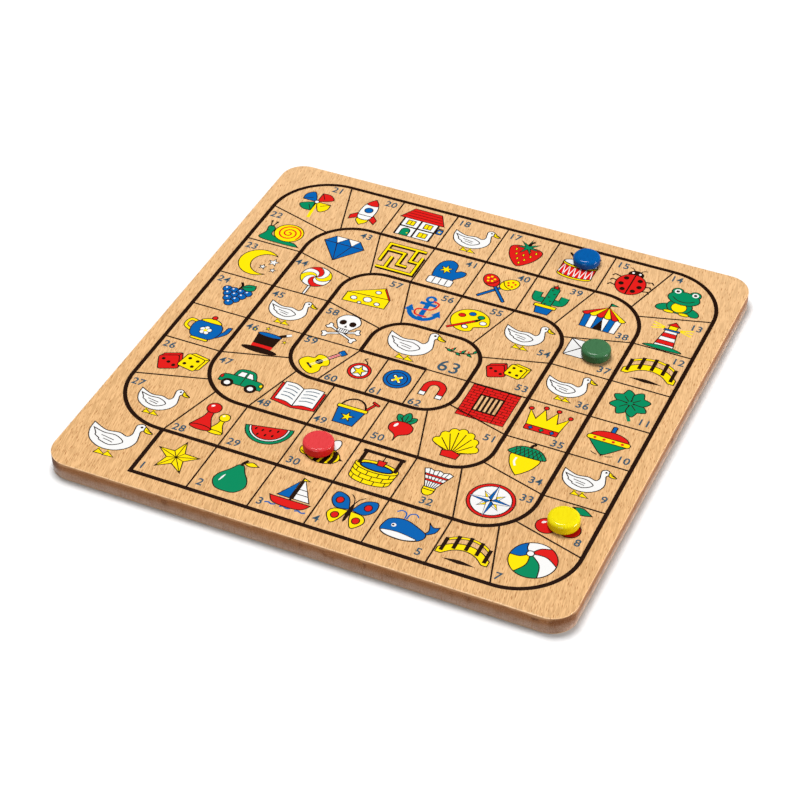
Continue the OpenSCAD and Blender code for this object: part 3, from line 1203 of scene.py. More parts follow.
    def teapot(self) -> None:
        """Draws a teapot."""
        self.blob(Ink.BLUE, (50, -20), (78, 0), (86, 36), (104, 42), (104, 42), (98, -6), (60, -50))
        handle = bend([(-50, 24), (-92, 30), (-98, -14), (-58, -36)])
        self.tube(handle, 4.4, 2.6, Ink.YELLOW)
        pot = [(-46, 40), (46, 40), (70, 2), (60, -50), (30, -74), (-30, -74), (-60, -50), (-70, 2)]
        self.blob(Ink.BLUE, *pot)
        self.blob(Ink.YELLOW, (-46, 40), (46, 40), (30, 60), (0, 66), (-30, 60))
        self.fill(Ink.RED, oval(0, 76, 12))
        self.fill(Ink.YELLOW, plate(-42, -86, 42, -72, 6))
        for i in range(5):
            a = math.radians(90 + 72 * i)
            self.fill(Ink.WHITE, oval(17 * math.cos(a), -16 + 17 * math.sin(a), 12, count=16), 0.7)
        self.dots(Ink.YELLOW, 9, (0, -16))

    def pawns(self) -> None:
        """Draws two playing pawns."""
        for ink, x, y, grow in ((Ink.YELLOW, 44, -26, 0.74), (Ink.RED, -30, 0, 1)):
            right = [(12, 36), (20, -10), (44, -60), (50, -84)]
            self.fill(ink, moved(twin((0, 40), right, (0, -96)), x, y, 0, grow))
            self.fill(ink, moved(oval(0, -82, 52, 16), x, y, 0, grow))
            self.fill(ink, moved(oval(0, 58, 34), x, y, 0, grow))
            self.fill(Ink.WHITE, moved(oval(-12, 70, 9, 6, 40), x, y, 0, grow), 0.0)

    def melon(self) -> None:
        """Draws a slice of water melon."""
        for ink, r in ((Ink.GREEN, 102), (Ink.WHITE, 86), (Ink.RED, 76)):
            self.fill(ink, moved(arc(0, 0, r, 180, 360), 0, 46, 12))
        for x, y in ((-50, 20), (-20, 20), (10, 28), (42, 36), (-30, -10), (2, -4), (32, 2)):
            self.fill(Ink.LINE, oval(x, y, 4.5, 8, -10, 12), 0.0)

    def bee(self) -> None:
        """Draws a bee."""
        self.fill(Ink.WHITE, oval(-10, 52, 26, 46, 24))
        self.fill(Ink.WHITE, oval(30, 50, 24, 42, -14))
        self.fill(Ink.YELLOW, oval(10, -16, 74, 48))
        for x in (-6, 26, 56):
            h = 48 * math.sqrt(1 - ((x - 10) / 74) ** 2)
            self.curve([(x - 3, -16 - h), (x + 6, -16), (x - 3, -16 + h)], 4.4)
        self.fill(Ink.YELLOW, oval(-62, -10, 32))
        self.dots(Ink.LINE, 6, (-72, -4))
        self.curve([(-86, -22), (-74, -28), (-62, -26)], 0.9)
        for x in (-78, -56):
            self.curve([(x + 6, 18), (x, 42), (x - 14, 52)], 1.1)
        self.fill(Ink.LINE, [(82, -8), (102, -18), (82, -26)], 0.0)

    def compass(self) -> None:
        """Draws a compass rose."""
        self.fill(Ink.RED, oval(0, 0, 98))
        self.fill(Ink.WHITE, oval(0, 0, 84))
        for turn, reach, ink in ((45, 62, Ink.YELLOW), (0, 96, Ink.BLUE)):
            for i in range(4):
                half = [(0, 0), (0, reach), (-15, 15)]
                self.fill(ink, moved(half, 0, 0, turn + 90 * i), 0.7)
                self.fill(Ink.WHITE, moved(mirrored(half), 0, 0, turn + 90 * i), 0.7)

    def acorn(self) -> None:
        """Draws an acorn."""
        nut = [(-56, 22), (56, 22), (54, -30), (26, -74), (0, -100), (0, -100), (-26, -74), (-54, -30)]
        self.blob(Ink.YELLOW, *nut)
        self.blob(Ink.GREEN, (-72, 20), (72, 20), (66, 52), (30, 74), (-30, 74), (-66, 52))
        for i in range(-3, 4):
            self.line([(20 * i - 14, 18), (16 * i + 10, 66)], 0.7)
            self.line([(20 * i + 14, 18), (16 * i - 10, 66)], 0.7)
        self.curve([(0, 72), (2, 88), (14, 102)], 3.0)
        self.curve([(-34, 0), (-34, -26), (-22, -48)], 1.8, Ink.WHITE)

    def crown(self) -> None:
        """Draws a crown."""
        tips = [(-92, 54), (-50, 2), (-30, 76), (0, 8), (30, 76), (50, 2), (92, 54)]
        self.fill(Ink.YELLOW, [(-74, -70), (74, -70)] + tips[::-1])
        self.fill(Ink.RED, plate(-78, -78, 78, -46, 6))
        for x, ink in ((-50, Ink.BLUE), (0, Ink.GREEN), (50, Ink.BLUE)):
            self.fill(ink, [(x - 11, -62), (x, -74), (x + 11, -62), (x, -50)], 0.8)
        for x, y in ((-92, 60), (-30, 84), (30, 84), (92, 60)):
            self.fill(Ink.RED, oval(x, y, 11, count=18))

    def envelope(self) -> None:
        """Draws a sealed envelope."""
        self.fill(Ink.WHITE, plate(-98, -66, 98, 66, 5))
        self.line([(-96, 64), (0, -12), (96, 64)], 1.1)
        self.line([(-96, -64), (-30, 10)], 1.1)
        self.line([(96, -64), (30, 10)], 1.1)
        self.fill(Ink.RED, oval(0, -10, 20))

    def tent(self) -> None:
        """Draws a striped circus tent."""
        self.fill(Ink.WHITE, [(-80, -92), (80, -92), (86, 6), (-86, 6)])
        for x in (-80, -27, 27):
            self.fill(Ink.BLUE, [(x, -92), (x + 26.5, -92), (x * 1.06 + 28, 6), (x * 1.06, 6)], 0.8)
        for i in range(6):
            x0, x1 = -98 + i * 98 / 3, -98 + (i + 1) * 98 / 3
            hem = arc(0.5 * (x0 + x1), 6, 16.3, 180, 360, 14, 8)
            self.fill(Ink.RED if i % 2 == 0 else Ink.YELLOW, [(0, 74)] + hem)
        self.line([(0, 72), (0, 104)], 1.6)
        self.fill(Ink.GREEN, [(0, 104), (36, 94), (0, 84)])
        self.fill(Ink.LINE, [(-22, -92), (22, -92), (0, -16)], 0.0)

    def cactus(self) -> None:
        """Draws a cactus in a pot."""
        trunk = plate(-22, -50, 22, 98, 20)
        for side in (-1, 1):
            arm = [(16 * side, -6), (56 * side, -2), (62 * side, 44)]
            self.tube(bend(arm), 9.4, 7.4, Ink.GREEN)
        self.fill(Ink.GREEN, trunk)
        for x, y in ((-8, 70), (8, 46), (-8, 20), (8, -6), (-8, -30)):
            self.line([(x - 5, y + 6), (x, y), (x + 5, y + 6)], 0.9)
        self.fill(Ink.RED, rays(0, 98, 7, 17, 5))
        self.fill(Ink.BLUE, [(-42, -46), (42, -46), (30, -100), (-30, -100)])
        self.fill(Ink.YELLOW, plate(-50, -56, 50, -36, 4))

    def maracas(self) -> None:
        """Draws a pair of maracas."""
        for ink, dot, turn in ((Ink.YELLOW, Ink.RED, -40), (Ink.RED, Ink.YELLOW, 40)):
            y = -20
            self.fill(Ink.BLUE, moved(plate(-7, -98, 7, 30, 6), 0, y, turn))
            self.fill(ink, moved(oval(0, 68, 36, 48), 0, y, turn))
            self.line(moved(bend([(-34, 56), (0, 46), (34, 56)]), 0, y, turn), 1.0)
            spots = [(-16, 70), (0, 62), (16, 70), (-8, 90), (10, 92)]
            self.dots(dot, 6, *moved(spots, 0, y, turn))

    def gem(self) -> None:
        """Draws a cut gem."""
        self.fill(Ink.BLUE, [(-98, 30), (0, -92), (98, 30), (58, 78), (-58, 78)])
        self.fill(Ink.WHITE, [(-58, 78), (0, 78), (-36, 30)], 0.8)
        self.fill(Ink.WHITE, [(0, 78), (58, 78), (36, 30)], 0.8)
        self.line([(-98, 30), (98, 30)], 1.0)
        self.line([(-36, 30), (0, -90), (36, 30)], 1.0)

    def lollipop(self) -> None:
        """Draws a swirled lollipop."""
        self.fill(Ink.WHITE, plate(-6, -104, 6, -20, 4))
        self.fill(Ink.WHITE, oval(0, 28, 70))
        for i, ink in enumerate((Ink.RED, Ink.YELLOW, Ink.RED, Ink.YELLOW)):
            sides = []
            for start in (90 * i, 90 * i + 45):
                turns = [(math.radians(start + 7 * k), 70 * k / 14) for k in range(15)]
                sides.append([(r * math.cos(a), 28 + r * math.sin(a)) for a, r in turns])
            rim = arc(0, 28, 70, 90 * i + 98, 90 * i + 143, count=6)
            self.fill(ink, sides[0] + rim[1:-1] + sides[1][:0:-1], 0.7)

    def hat(self) -> None:
        """Draws a top hat with a wand."""
        self.line([(-20, 10), (94, 92)], 4.0)
        self.line([(74, 78), (94, 92)], 3.0, Ink.WHITE)
        self.fill(Ink.LINE, [(-50, -62), (50, -62), (60, 50), (-60, 50)], 0.0)
        self.fill(Ink.RED, [(-51, -56), (51, -56), (53, -26), (-53, -26)], 0.0)
        self.fill(Ink.LINE, oval(0, -66, 92, 20), 0.0)
        self.fill(Ink.BLUE, oval(0, 50, 60, 14))
        for x, y in ((-86, 66), (86, 30), (-30, 92)):
            self.fill(Ink.YELLOW, rays(x, y, 5, 14, 5), 0.6)

    def car(self) -> None:
        """Draws a small car."""
        cab = [(-50, 10), (-50, 10), (-36, 56), (30, 58), (58, 10), (58, 10)]
        self.blob(Ink.GREEN, *cab)
        self.fill(Ink.WHITE, [(-36, 12), (-27, 44), (0, 46), (0, 12)], 0.8)
        self.fill(Ink.WHITE, [(8, 12), (8, 46), (25, 45), (43, 12)], 0.8)
        body = [(-98, -40), (-98, -40), (-96, -2), (-60, 12), (60, 12), (96, -2), (98, -40), (98, -40)]
        self.blob(Ink.GREEN, *body)
        for x in (-54, 54):
            self.fill(Ink.LINE, oval(x, -42, 27), 0.0)
            self.fill(Ink.WHITE, oval(x, -42, 13), 0.0)
        self.fill(Ink.YELLOW, oval(88, -10, 8, 10, 0, 16), 0.8)
        self.fill(Ink.RED, plate(-98, -20, -86, -2, 3), 0.8)
        self.line([(4, 10), (4, -36)], 0.9)

    def book(self) -> None:
        """Draws an open book."""
        cover = [(-100, -62), (0, -78), (100, -62), (100, 56), (0, 42), (-100, 56)]
        self.fill(Ink.RED, cover)
        page = bend([(0, -66), (0, -66), (40, -50), (88, -50), (88, -50)])
        page += bend([(88, 66), (88, 66), (40, 68), (0, 50), (0, 50)])
        for side in (page, mirrored(page)):
            self.fill(Ink.WHITE, side)
        for side in (-1, 1):
            for y in (40, 18, -4, -26):
                row = [(14 * side, y - 2), (42 * side, y + 8), (74 * side, y + 8)]
                self.curve(row, 1.0, Ink.NUMERAL)

    def pail(self) -> None:
        """Draws a beach pail and spade."""
        self.fill(Ink.RED, moved(plate(-6, -20, 6, 60, 5), 50, 30, -24))
        self.fill(Ink.RED, moved(plate(-20, 56, 20, 68, 5), 50, 30, -24))
        self.line(arc(-10, 18, 58, 180, 0, 66), 2.0)
        self.fill(Ink.BLUE, [(-76, 20), (56, 20), (38, -90), (-58, -90)])
        self.fill(Ink.YELLOW, plate(-82, 10, 62, 30, 6))
        self.fill(Ink.YELLOW, rays(-10, -40, 13, 32, 5))

    def shell(self) -> None:
        """Draws a scallop shell."""
        rim = []
        for i in range(7):
            turn = 18 + 24 * i
            a = math.radians(turn)
            rim += arc(84 * math.cos(a), -50 + 120 * math.sin(a), 20, turn - 70, turn + 70, count=6)
        self.fill(Ink.YELLOW, [(12, -70)] + rim + [(-12, -70)])
        for i in range(8):
            a = math.radians(6 + 24 * i)
            self.line([(10 * math.cos(a), -60), (80 * math.cos(a), -50 + 114 * math.sin(a))], 1.0)
        self.fill(Ink.RED, [(-40, -62), (-34, -94), (34, -94), (40, -62), (0, -50)])

    def palette(self) -> None:
        """Draws a paint palette with a brush."""
        body = [(-94, 6), (-60, 66), (10, 86), (76, 56), (98, -6), (60, -30), (36, -42)]
        self.blob(Ink.YELLOW, *body, (30, -72), (-16, -86), (-72, -58))
        dabs = {Ink.RED: (-50, 26), Ink.BLUE: (-6, 52), Ink.GREEN: (42, 42), Ink.WHITE: (66, 4)}
        for ink, (x, y) in dabs.items():
            self.fill(ink, oval(x, y, 17, 14, 10), 0.8)
        self.fill(Ink.WHITE, oval(-6, -50, 16, 13, -20))
        self.line([(-86, -86), (34, 14)], 3.4)
        self.line([(-84, -84), (24, 6)], 2.0, Ink.RED)
        self.blob(Ink.LINE, (26, 4), (20, 12), (34, 24), (50, 28), (50, 28), (42, 12), edge=0.0)

    def anchor(self) -> None:
        """Draws an anchor."""
        self.line(arc(0, 72, 20, 0, 360), 3.0, Ink.BLUE)
        self.line([(0, 54), (0, -84)], 5.0, Ink.BLUE)
        self.line([(-42, 34), (42, 34)], 4.2, Ink.BLUE)
        self.line(arc(0, -14, 72, 196, 344), 4.6, Ink.BLUE)
        for side in (-1, 1):
            self.fill(Ink.BLUE, [(94 * side, -42), (72 * side, 6), (44 * side, -36)], 0.0)
        rope = [(16, 64), (50, 50), (30, 0), (-34, -16), (-30, -56), (30, -60)]
        self.curve(rope, 1.8, Ink.RED)

    def cheese(self) -> None:
        """Draws a wedge of cheese."""
        self.fill(Ink.YELLOW, [(-98, -10), (50, 74), (98, 6)])
        self.fill(Ink.YELLOW, [(-98, -10), (98, 6), (98, -62), (-98, -74)])
        self.fill(Ink.RED, [(50, 74), (98, 6), (98, -6), (50, 62)], 0.8)
        for x, y, r in ((-56, -40, 15), (6, -30, 20), (56, -44, 13), (-20, -62, 9), (30, 34, 13)):
            self.fill(Ink.WHITE, oval(x, y, r, 0.86 * r), 0.9)

    def reel(self) -> None:
        """Draws a toy reel on its string."""
        self.curve([(10, 20), (26, 60), (10, 90), (-14, 110), (4, 130)], 1.3)
        self.fill(Ink.RED, oval(0, -30, 92))
        self.fill(Ink.WHITE, oval(0, -30, 68))
        self.fill(Ink.YELLOW, rays(0, -30, 25, 60, 5))

    def button(self) -> None:
        """Draws a coat button."""
        self.fill(Ink.BLUE, oval(0, 0, 98))
        self.fill(Ink.BLUE, oval(0, 0, 72))
        for x, y in ((-24, 24), (24, 24), (-24, -24), (24, -24)):
            self.fill(Ink.WHITE, oval(x, y, 14, count=18))
        self.line([(-24, 24), (24, -24)], 2.2, Ink.YELLOW)
        self.line([(24, 24), (-24, -24)], 2.2, Ink.YELLOW)

    def magnet(self) -> None:
        """Draws a horseshoe magnet."""
        bow = arc(0, 10, 92, 0, 180) + [(-92, -90), (-42, -90)]
        bow += arc(0, 10, 42, 180, 0) + [(42, -90), (92, -90)]
        self.fill(Ink.RED, bow)
        for x in (-92, 42):
            self.fill(Ink.WHITE, plate(x, -90, x + 50, -46))

    def whale(self) -> None:
        """Draws a spouting whale."""
        tail = loop((50, -20), (86, 20), (72, 70), (72, 70), (96, 50), (120, 58), (120, 58), (110, 20))
        self.fill(Ink.BLUE, tail)
        body = [(-96, -12), (-78, 32), (-20, 46), (40, 26), (86, -2), (72, -42), (10, -64)]
        self.blob(Ink.BLUE, *body, (-60, -60), (-92, -42))
        belly = [(-90, -38), (-30, -28), (30, -34), (62, -44), (10, -62), (-60, -58)]
        self.blob(Ink.WHITE, *belly, edge=0.8)
        self.dots(Ink.WHITE, 10, (-52, 2))
        self.dots(Ink.LINE, 5, (-54, 2))
        self.curve([(-28, 50), (-32, 80), (-54, 90), (-70, 76)], 1.3, Ink.BLUE)
        self.curve([(-20, 50), (-16, 80), (6, 90), (22, 76)], 1.3, Ink.BLUE)

    def frog(self) -> None:
        """Draws a sitting frog."""
        for side in (-1, 1):
            self.fill(Ink.GREEN, oval(60 * side, -62, 40, 24, -24 * side))
        self.fill(Ink.GREEN, oval(0, -38, 56, 50))
        self.fill(Ink.YELLOW, oval(0, -46, 34, 34), 0.8)
        for side in (-1, 1):
            self.fill(Ink.GREEN, oval(40 * side, 60, 26))
        self.fill(Ink.GREEN, oval(0, 22, 72, 46))
        for side in (-1, 1):
            self.dots(Ink.WHITE, 15, (40 * side, 62))
            self.dots(Ink.LINE, 8, (40 * side, 62))
            self.fill(Ink.YELLOW, oval(34 * side, -86, 24, 10))
        self.curve([(-50, 20), (-26, 2), (0, -3), (26, 2), (50, 20)], 1.0)

    def moon(self) -> None:
        """Draws a crescent moon with stars."""
        self.fill(Ink.YELLOW, arc(-10, 0, 92, 49, 311, count=36) + arc(28, 0, 72, 288, 72, count=30))
        for x, y, r in ((52, 24, 26), (20, -22, 18), (72, -30, 16)):
            self.fill(Ink.WHITE, rays(x, y, 0.42 * r, r, 5), 0.8)

    def shuttlecock(self) -> None:
        """Draws a shuttlecock."""
        crest = [(72 - 24 * i, 74 + (10 if i % 2 else 0)) for i in range(7)]
        self.fill(Ink.WHITE, [(-25, -40), (25, -40), *crest])
        for i in range(1, 6):
            self.line([(25 - 8.3 * i, -40), crest[i]], 0.8)
        for y, w in ((34, 52), (0, 38.5)):
            self.fill(Ink.RED, [(-w, y), (w, y), (w + 5, y + 12), (-w - 5, y + 12)], 0.8)
        self.fill(Ink.YELLOW, arc(0, -56, 30, 180, 360, 38) + [(30, -40), (-30, -40)])
        self.line([(-30, -56), (30, -56)])

    def mitten(self) -> None:
        """Draws a mitten."""
        hand = [(-50, -50), (-50, -50), (-58, 10), (-46, 68), (-6, 92), (30, 70), (38, 22)]
        self.blob(Ink.BLUE, *hand, (60, 34), (86, 30), (84, 2), (56, -30), (46, -50), (46, -50))
        self.fill(Ink.WHITE, plate(-62, -94, 58, -44, 12))
        for x in (-32, -2, 28):
            self.line([(x, -90), (x, -48)], 0.9)
        self.fill(Ink.YELLOW, rays(-8, 22, 13, 32, 6), 0.8)

    def radish(self) -> None:
        """Draws a radish."""
        for turn, grow in ((42, 0.9), (-42, 0.9), (0, 1)):
            leaf = loop((0, 0), (0, 0), (20, 30), (16, 60), (0, 76), (-16, 60), (-20, 30))
            self.fill(Ink.GREEN, moved(leaf, 0, 24, turn, grow))
            self.line(moved([(0, 5), (0, 56)], 0, 24, turn, grow), 0.8)
        bulb = [(0, -100), (0, -100), (10, -62), (50, -34), (54, 6), (24, 30), (-24, 30), (-54, 6)]
        self.blob(Ink.RED, *bulb, (-50, -34), (-10, -62))
        self.fill(Ink.WHITE, oval(-28, 2, 7, 15, -20), 0.0)

    def guitar(self) -> None:
        """Draws a guitar."""
        tilt = -38
        half = [(50, -86), (56, -46), (34, -20), (42, 6), (20, 26)]
        body = twin((0, -98), half)
        self.fill(Ink.RED, moved(plate(-9, 20, 9, 92), -10, 0, tilt))
        self.fill(Ink.BLUE, moved(plate(-16, 86, 16, 114, 5), -10, 0, tilt))
        self.fill(Ink.YELLOW, moved(body, -10, 0, tilt))
        self.dots(Ink.LINE, 17, *moved([(0, -14)], -10, 0, tilt))
        self.line(moved([(-20, -62), (20, -62)], -10, 0, tilt), 2.2)
        for x in (-4, 4):
            self.line(moved([(x, -62), (x, 90)], -10, 0, tilt), 0.4, Ink.WHITE)

    def laurel(self) -> None:
        """Draws a laurel sprig for the finish."""
        stem = bend([(-100, 0), (-40, -20), (30, -16), (100, 14)])
        self.line(stem, 1.6)
        for i, (x, y) in enumerate(stem[2:-1:3]):
            side = 1 if i % 2 else -1
            leaf = loop((0, 0), (0, 0), (20, 10), (46, 0), (46, 0), (20, -10))
            self.fill(Ink.GREEN, moved(leaf, x, y, 20 + 46 * side), 0.8)
        self.dots(Ink.RED, 7, (-50, 6), (10, -2), (60, 14))


# The board, the counters and the studio


def dress(node: str, material: bpy.types.Material) -> None:
    """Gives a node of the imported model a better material.

    Args:
        node: The node's name.
        material: The material.
    """
    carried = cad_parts[node]
    carried.data.materials.clear()
    carried.data.materials.append(material)
    LOG.info("%s dressed in %s", node, material.name)


@dataclass(frozen=True)
class Space:
    """One space of the track: its number, its middle, its room and its picture's place."""

    number: int
    x: float
    y: float
    wide: float
    high: float
    picture_x: float
    picture_y: float
    beside_corner: bool = False
    in_last_lane: bool = False


@dataclass
class Track:
    """The spiral of 63 spaces, in millimetres from the middle of the board."""

    rings: tuple[float, ...] = (139.6, 104.0, 68.4, 32.8)
    cells: tuple[float, ...] = (-104.0, -68.4, -32.8, 0.0, 32.8, 68.4, 104.0, 139.6)
    last_lane: tuple[float, ...] = (-36.5, -15.2, 7.5, 29.0)
    corner_pull: float = 0.955
    lean_shift: float = 2.6

    def spaces(self) -> list[Space]:
        """Finds every space but the finish, in order.

        Returns:
            The spaces 1 to 62.
        """
        found: list[Space] = []
        for ring in range(3):
            lane = self.rings[ring] - self.rings[ring + 1]
            middle = 0.5 * (self.rings[ring] + self.rings[ring + 1])
            for side in range(4):
                first = max(ring - 1, 0) if side == 0 else ring
                corner = 6 - ring - (1 if side == 3 else 0)
                for cell in range(first, corner + 1):
                    room = self.cells[cell + 1] - self.cells[cell]
                    along = 0.5 * (self.cells[cell] + self.cells[cell + 1])
                    pull = self.corner_pull if cell == corner else 1.0
                    after = cell == first and (side > 0 or ring > 0)
                    before = cell == corner - 1
                    aside = along + self.lean_shift * (after - before)
                    ends = [(along, -middle), (aside * pull, -middle * pull)]
                    (x, y), (u, v) = moved(ends, 0.0, 0.0, 90.0 * side)
                    wide, high = (room, lane) if side % 2 == 0 else (lane, room)
                    found.append(Space(len(found) + 1, x, y, wide, high, u, v, after or before))
        depth = self.rings[3]
        for left, right in zip(self.last_lane, self.last_lane[1:]):
            x, y = 0.5 * (left + right), -0.5 * depth
            found.append(Space(len(found) + 1, x, y, right - left, depth, x, y, in_last_lane=True))
        return found


@dataclass
class CrossTrack(Pen):
    """The traditional cross track printed on the underside, drawn in millimetres."""

    face_z: float = 0.0
    up: float = -1.0
    edge_w: float = 1.1
    half: float = 139.6
    rows: int = 8
    home: float = 43.0
    home_face: float = 0.76
    seat: float = 0.2
    seat_out: float = 0.36
    mark: float = 0.34
    round_points: int = 72
    fine: float = 0.7
    heavy: float = 2.0

    def draw(self) -> None:
        """Draws the four arms, the four homes and the middle."""
        cell = 2.0 * self.half / (2 * self.rows + 3)
        for side, ink in enumerate((Ink.RED, Ink.BLUE, Ink.YELLOW, Ink.GREEN)):
            self.place(0.0, 0.0, 1.0)
            self.draw_arm(90.0 * side, ink, cell)
            self.draw_home(90.0 * side, ink, cell)

    def draw_arm(self, turn: float, ink: Ink, cell: float) -> None:
        """Draws one arm of three columns, with its lane home, and its share of the middle.

        Args:
            turn: The arm's turn about the middle, in degrees.
            ink: The player's ink.
            cell: Side of a square.
        """
        near = 1.5 * cell
        self.fill(ink, moved([(0.0, 0.0), (near, -near), (near, near)], 0.0, 0.0, turn))
        entry_row, last_row = self.rows - 4, self.rows - 1
        for row in range(self.rows):
            x = near + row * cell
            for column in (-1, 0, 1):
                y = (column - 0.5) * cell
                square = moved(plate(x, y, x + cell, y + cell), 0.0, 0.0, turn)
                if (column == 0 and row < last_row) or (column == -1 and row == entry_row):
                    self.fill(ink, square, self.fine)
                else:
                    self.line([*square, square[0]], self.fine)
                if (row, column) in ((entry_row, 1), (last_row, 0)):
                    middle = moved([(x + 0.5 * cell, y + 0.5 * cell)], 0.0, 0.0, turn)[0]
                    self.fill(Ink.WHITE, oval(*middle, self.mark * cell), self.fine)
        sides = [(near, -near), (self.half, -near), (self.half, near), (near, near)]
        self.line(moved(sides, 0.0, 0.0, turn), self.heavy)

    def draw_home(self, turn: float, ink: Ink, cell: float) -> None:
        """Draws the round home beside an arm, with places for four counters.

        Args:
            turn: The home's turn about the middle, in degrees.
            ink: The player's ink.
            cell: Side of a square.
        """
        out = 0.5 * (self.half + 1.5 * cell)
        x, y = moved([(out, -out)], 0.0, 0.0, turn)[0]
        self.place(x, y, self.home)
        self.fill(ink, oval(0.0, 0.0, 1.0, count=self.round_points), self.heavy)
        self.fill(Ink.WHITE, oval(0.0, 0.0, self.home_face, count=self.round_points))
        for i in range(4):
            u, v = moved([(self.seat_out, 0.0)], 0.0, 0.0, 45.0 + 90.0 * i)[0]
            self.fill(ink, oval(u, v, self.seat))


@dataclass
class Board:
    """The veneered panel with everything printed on it, in millimetres."""

    effects: Effects
    track: Track = field(default_factory=Track)
    face_z: float = 11.0
    numeral_size: float = 7.3
    numeral_inset_x: float = 6.4
    numeral_inset_y: float = 6.2
    numeral_film: float = 0.06
    numeral_weight: float = 0.11
    numeral_spacing: float = 1.07
    numeral_steps: int = 4
    picture_half: float = 13.2
    picture_margin: float = 3.4
    picture_shift: float = 1.1
    sign_margin: float = 3.6
    corner_margin: float = 1.0
    start_goose: Triple = (-122.0, -120.0, 16.0)
    finish_goose: Triple = (-8.5, 16.6, 15.2)
    finish_laurel: Triple = (18.0, 22.0, 8.6)
    finish_numeral: Triple = (18.3, 6.4, 13.0)
    signs: tuple[int, ...] = (6, 12, 19, 31, 42, 52)
    unnumbered: tuple[int, ...] = (6, 16, 19, 25, 31, 42, 52)
    corners: dict[Corner, tuple[int, ...]] = field(
        default_factory=lambda: {
            Corner.LOWER_MIDDLE: (32,),
            Corner.LOWER_RIGHT: (5, *range(8, 12), *range(34, 39), *range(52, 55)),
            Corner.UPPER_LEFT: (*range(14, 20), *range(22, 28), *range(44, 48), 58, 59),
            Corner.UPPER_RIGHT: (12, 13, 20, 21, 33, *range(39, 44), 51, *range(55, 58)),
        }
    )
    nudges: dict[int, Point] = field(
        default_factory=lambda: {
            2: (-1.6, 0.8), 3: (-2.0, 0.8), 4: (-2.4, 0.8), 7: (-4.9, 0.4), 8: (0.3, 3.1), 9: (1.4, 2.9),
            13: (-0.4, -3.1), 14: (-2.6, 0.0), 22: (-0.5, -2.0), 28: (3.3, -1.4), 34: (-0.9, 2.0),
            35: (-0.9, -2.3), 38: (-0.9, -3.6), 39: (-3.1, 0.3), 44: (-1.2, -2.9), 49: (-1.5, 0.0),
            55: (-2.5, 0.0), 58: (0.0, -1.8), 59: (0.0, 2.8), 60: (-7.6, -1.8), 61: (-1.7, -1.8),
            62: (-1.0, -1.8),
        }
    )
    shifts: dict[int, Triple] = field(
        default_factory=lambda: {
            1: (0.8, 0.8, 0.95), 3: (0.9, 0.7, 0.95), 26: (0.6, -0.8, 1.0), 28: (1.8, 1.0, 0.92),
            31: (0.0, 0.0, 1.06), 32: (0.0, 2.4, 0.86), 35: (-0.6, 1.4, 0.95), 37: (-2.4, 2.2, 0.86),
            42: (1.0, 0.2, 0.95), 49: (0.9, 0.3, 0.95), 52: (0.0, -0.3, 1.16), 53: (-0.8, 1.6, 0.95),
        }
    )
    inks: dict[Ink, tuple[Colour, Colour]] = field(
        default_factory=lambda: {
            Ink.LINE: ((0.0105, 0.003, 0.0008), (0.035, 0.016, 0.006)),
            Ink.NUMERAL: ((0.027, 0.06, 0.09), (0.07, 0.085, 0.1)),
            Ink.WHITE: ((0.56, 0.555, 0.545), (0.49, 0.44, 0.37)),
            Ink.RED: ((0.455, 0.0067, 0.0055), (0.36, 0.028, 0.011)),
            Ink.YELLOW: ((0.64, 0.475, 0.0), (0.53, 0.36, 0.016)),
            Ink.BLUE: ((0.0, 0.074, 0.268), (0.028, 0.08, 0.19)),
            Ink.GREEN: ((0.0, 0.158, 0.066), (0.02, 0.13, 0.05)),
        }
    )
    films: dict[Ink, Film] = field(default_factory=lambda: {ink: Film() for ink in Ink})

    def build(self) -> None:
        """Dresses the panel and prints it."""
        materials = {k: InkFinish(k.value, self.effects, *v).material() for k, v in self.inks.items()}
        beech = BeechFinish("beech", self.effects).material()
        dress("top_veneer", beech)
        dress("bottom_veneer", beech)
        dress("core_panel", FibreboardFinish("fibreboard", self.effects).material())
        dress("track_line_print", materials[Ink.LINE])
        dress("space_line_print", materials[Ink.LINE])
        self.print_numbers()
        self.print_pictures()
        CrossTrack(self.films).draw()
        for ink, film in self.films.items():
            piece = film.build(f"{ink.value.removesuffix('_ink')}_print")
            piece.data.materials.append(materials[ink])
            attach(piece, "board")
            LOG.info("%s printed, %d faces", piece.name, len(piece.data.polygons))

    def number_corner(self, number: int) -> Corner:
        """Says where a space's number stands in it.

        Args:
            number: The space.

        Returns:
            The corner.
        """
        for corner, numbers in self.corners.items():
            if number in numbers:
                return corner
        return Corner.LOWER_LEFT

    def print_numbers(self) -> None:
        """Prints the numbers of the spaces that carry one, and the finish's."""
        for space in self.track.spaces():
            if space.number in self.unnumbered:
                continue
            across, up = self.number_corner(space.number).value
            nudge = self.nudges.get(space.number, (0.0, 0.0))
            x = space.x + across * (0.5 * space.wide - self.numeral_inset_x) + nudge[0]
            y = space.y + up * (0.5 * space.high - self.numeral_inset_y) + nudge[1]
            self.print_number(space.number, x, y, self.numeral_size)
        self.print_number(FINISH, *self.finish_numeral)

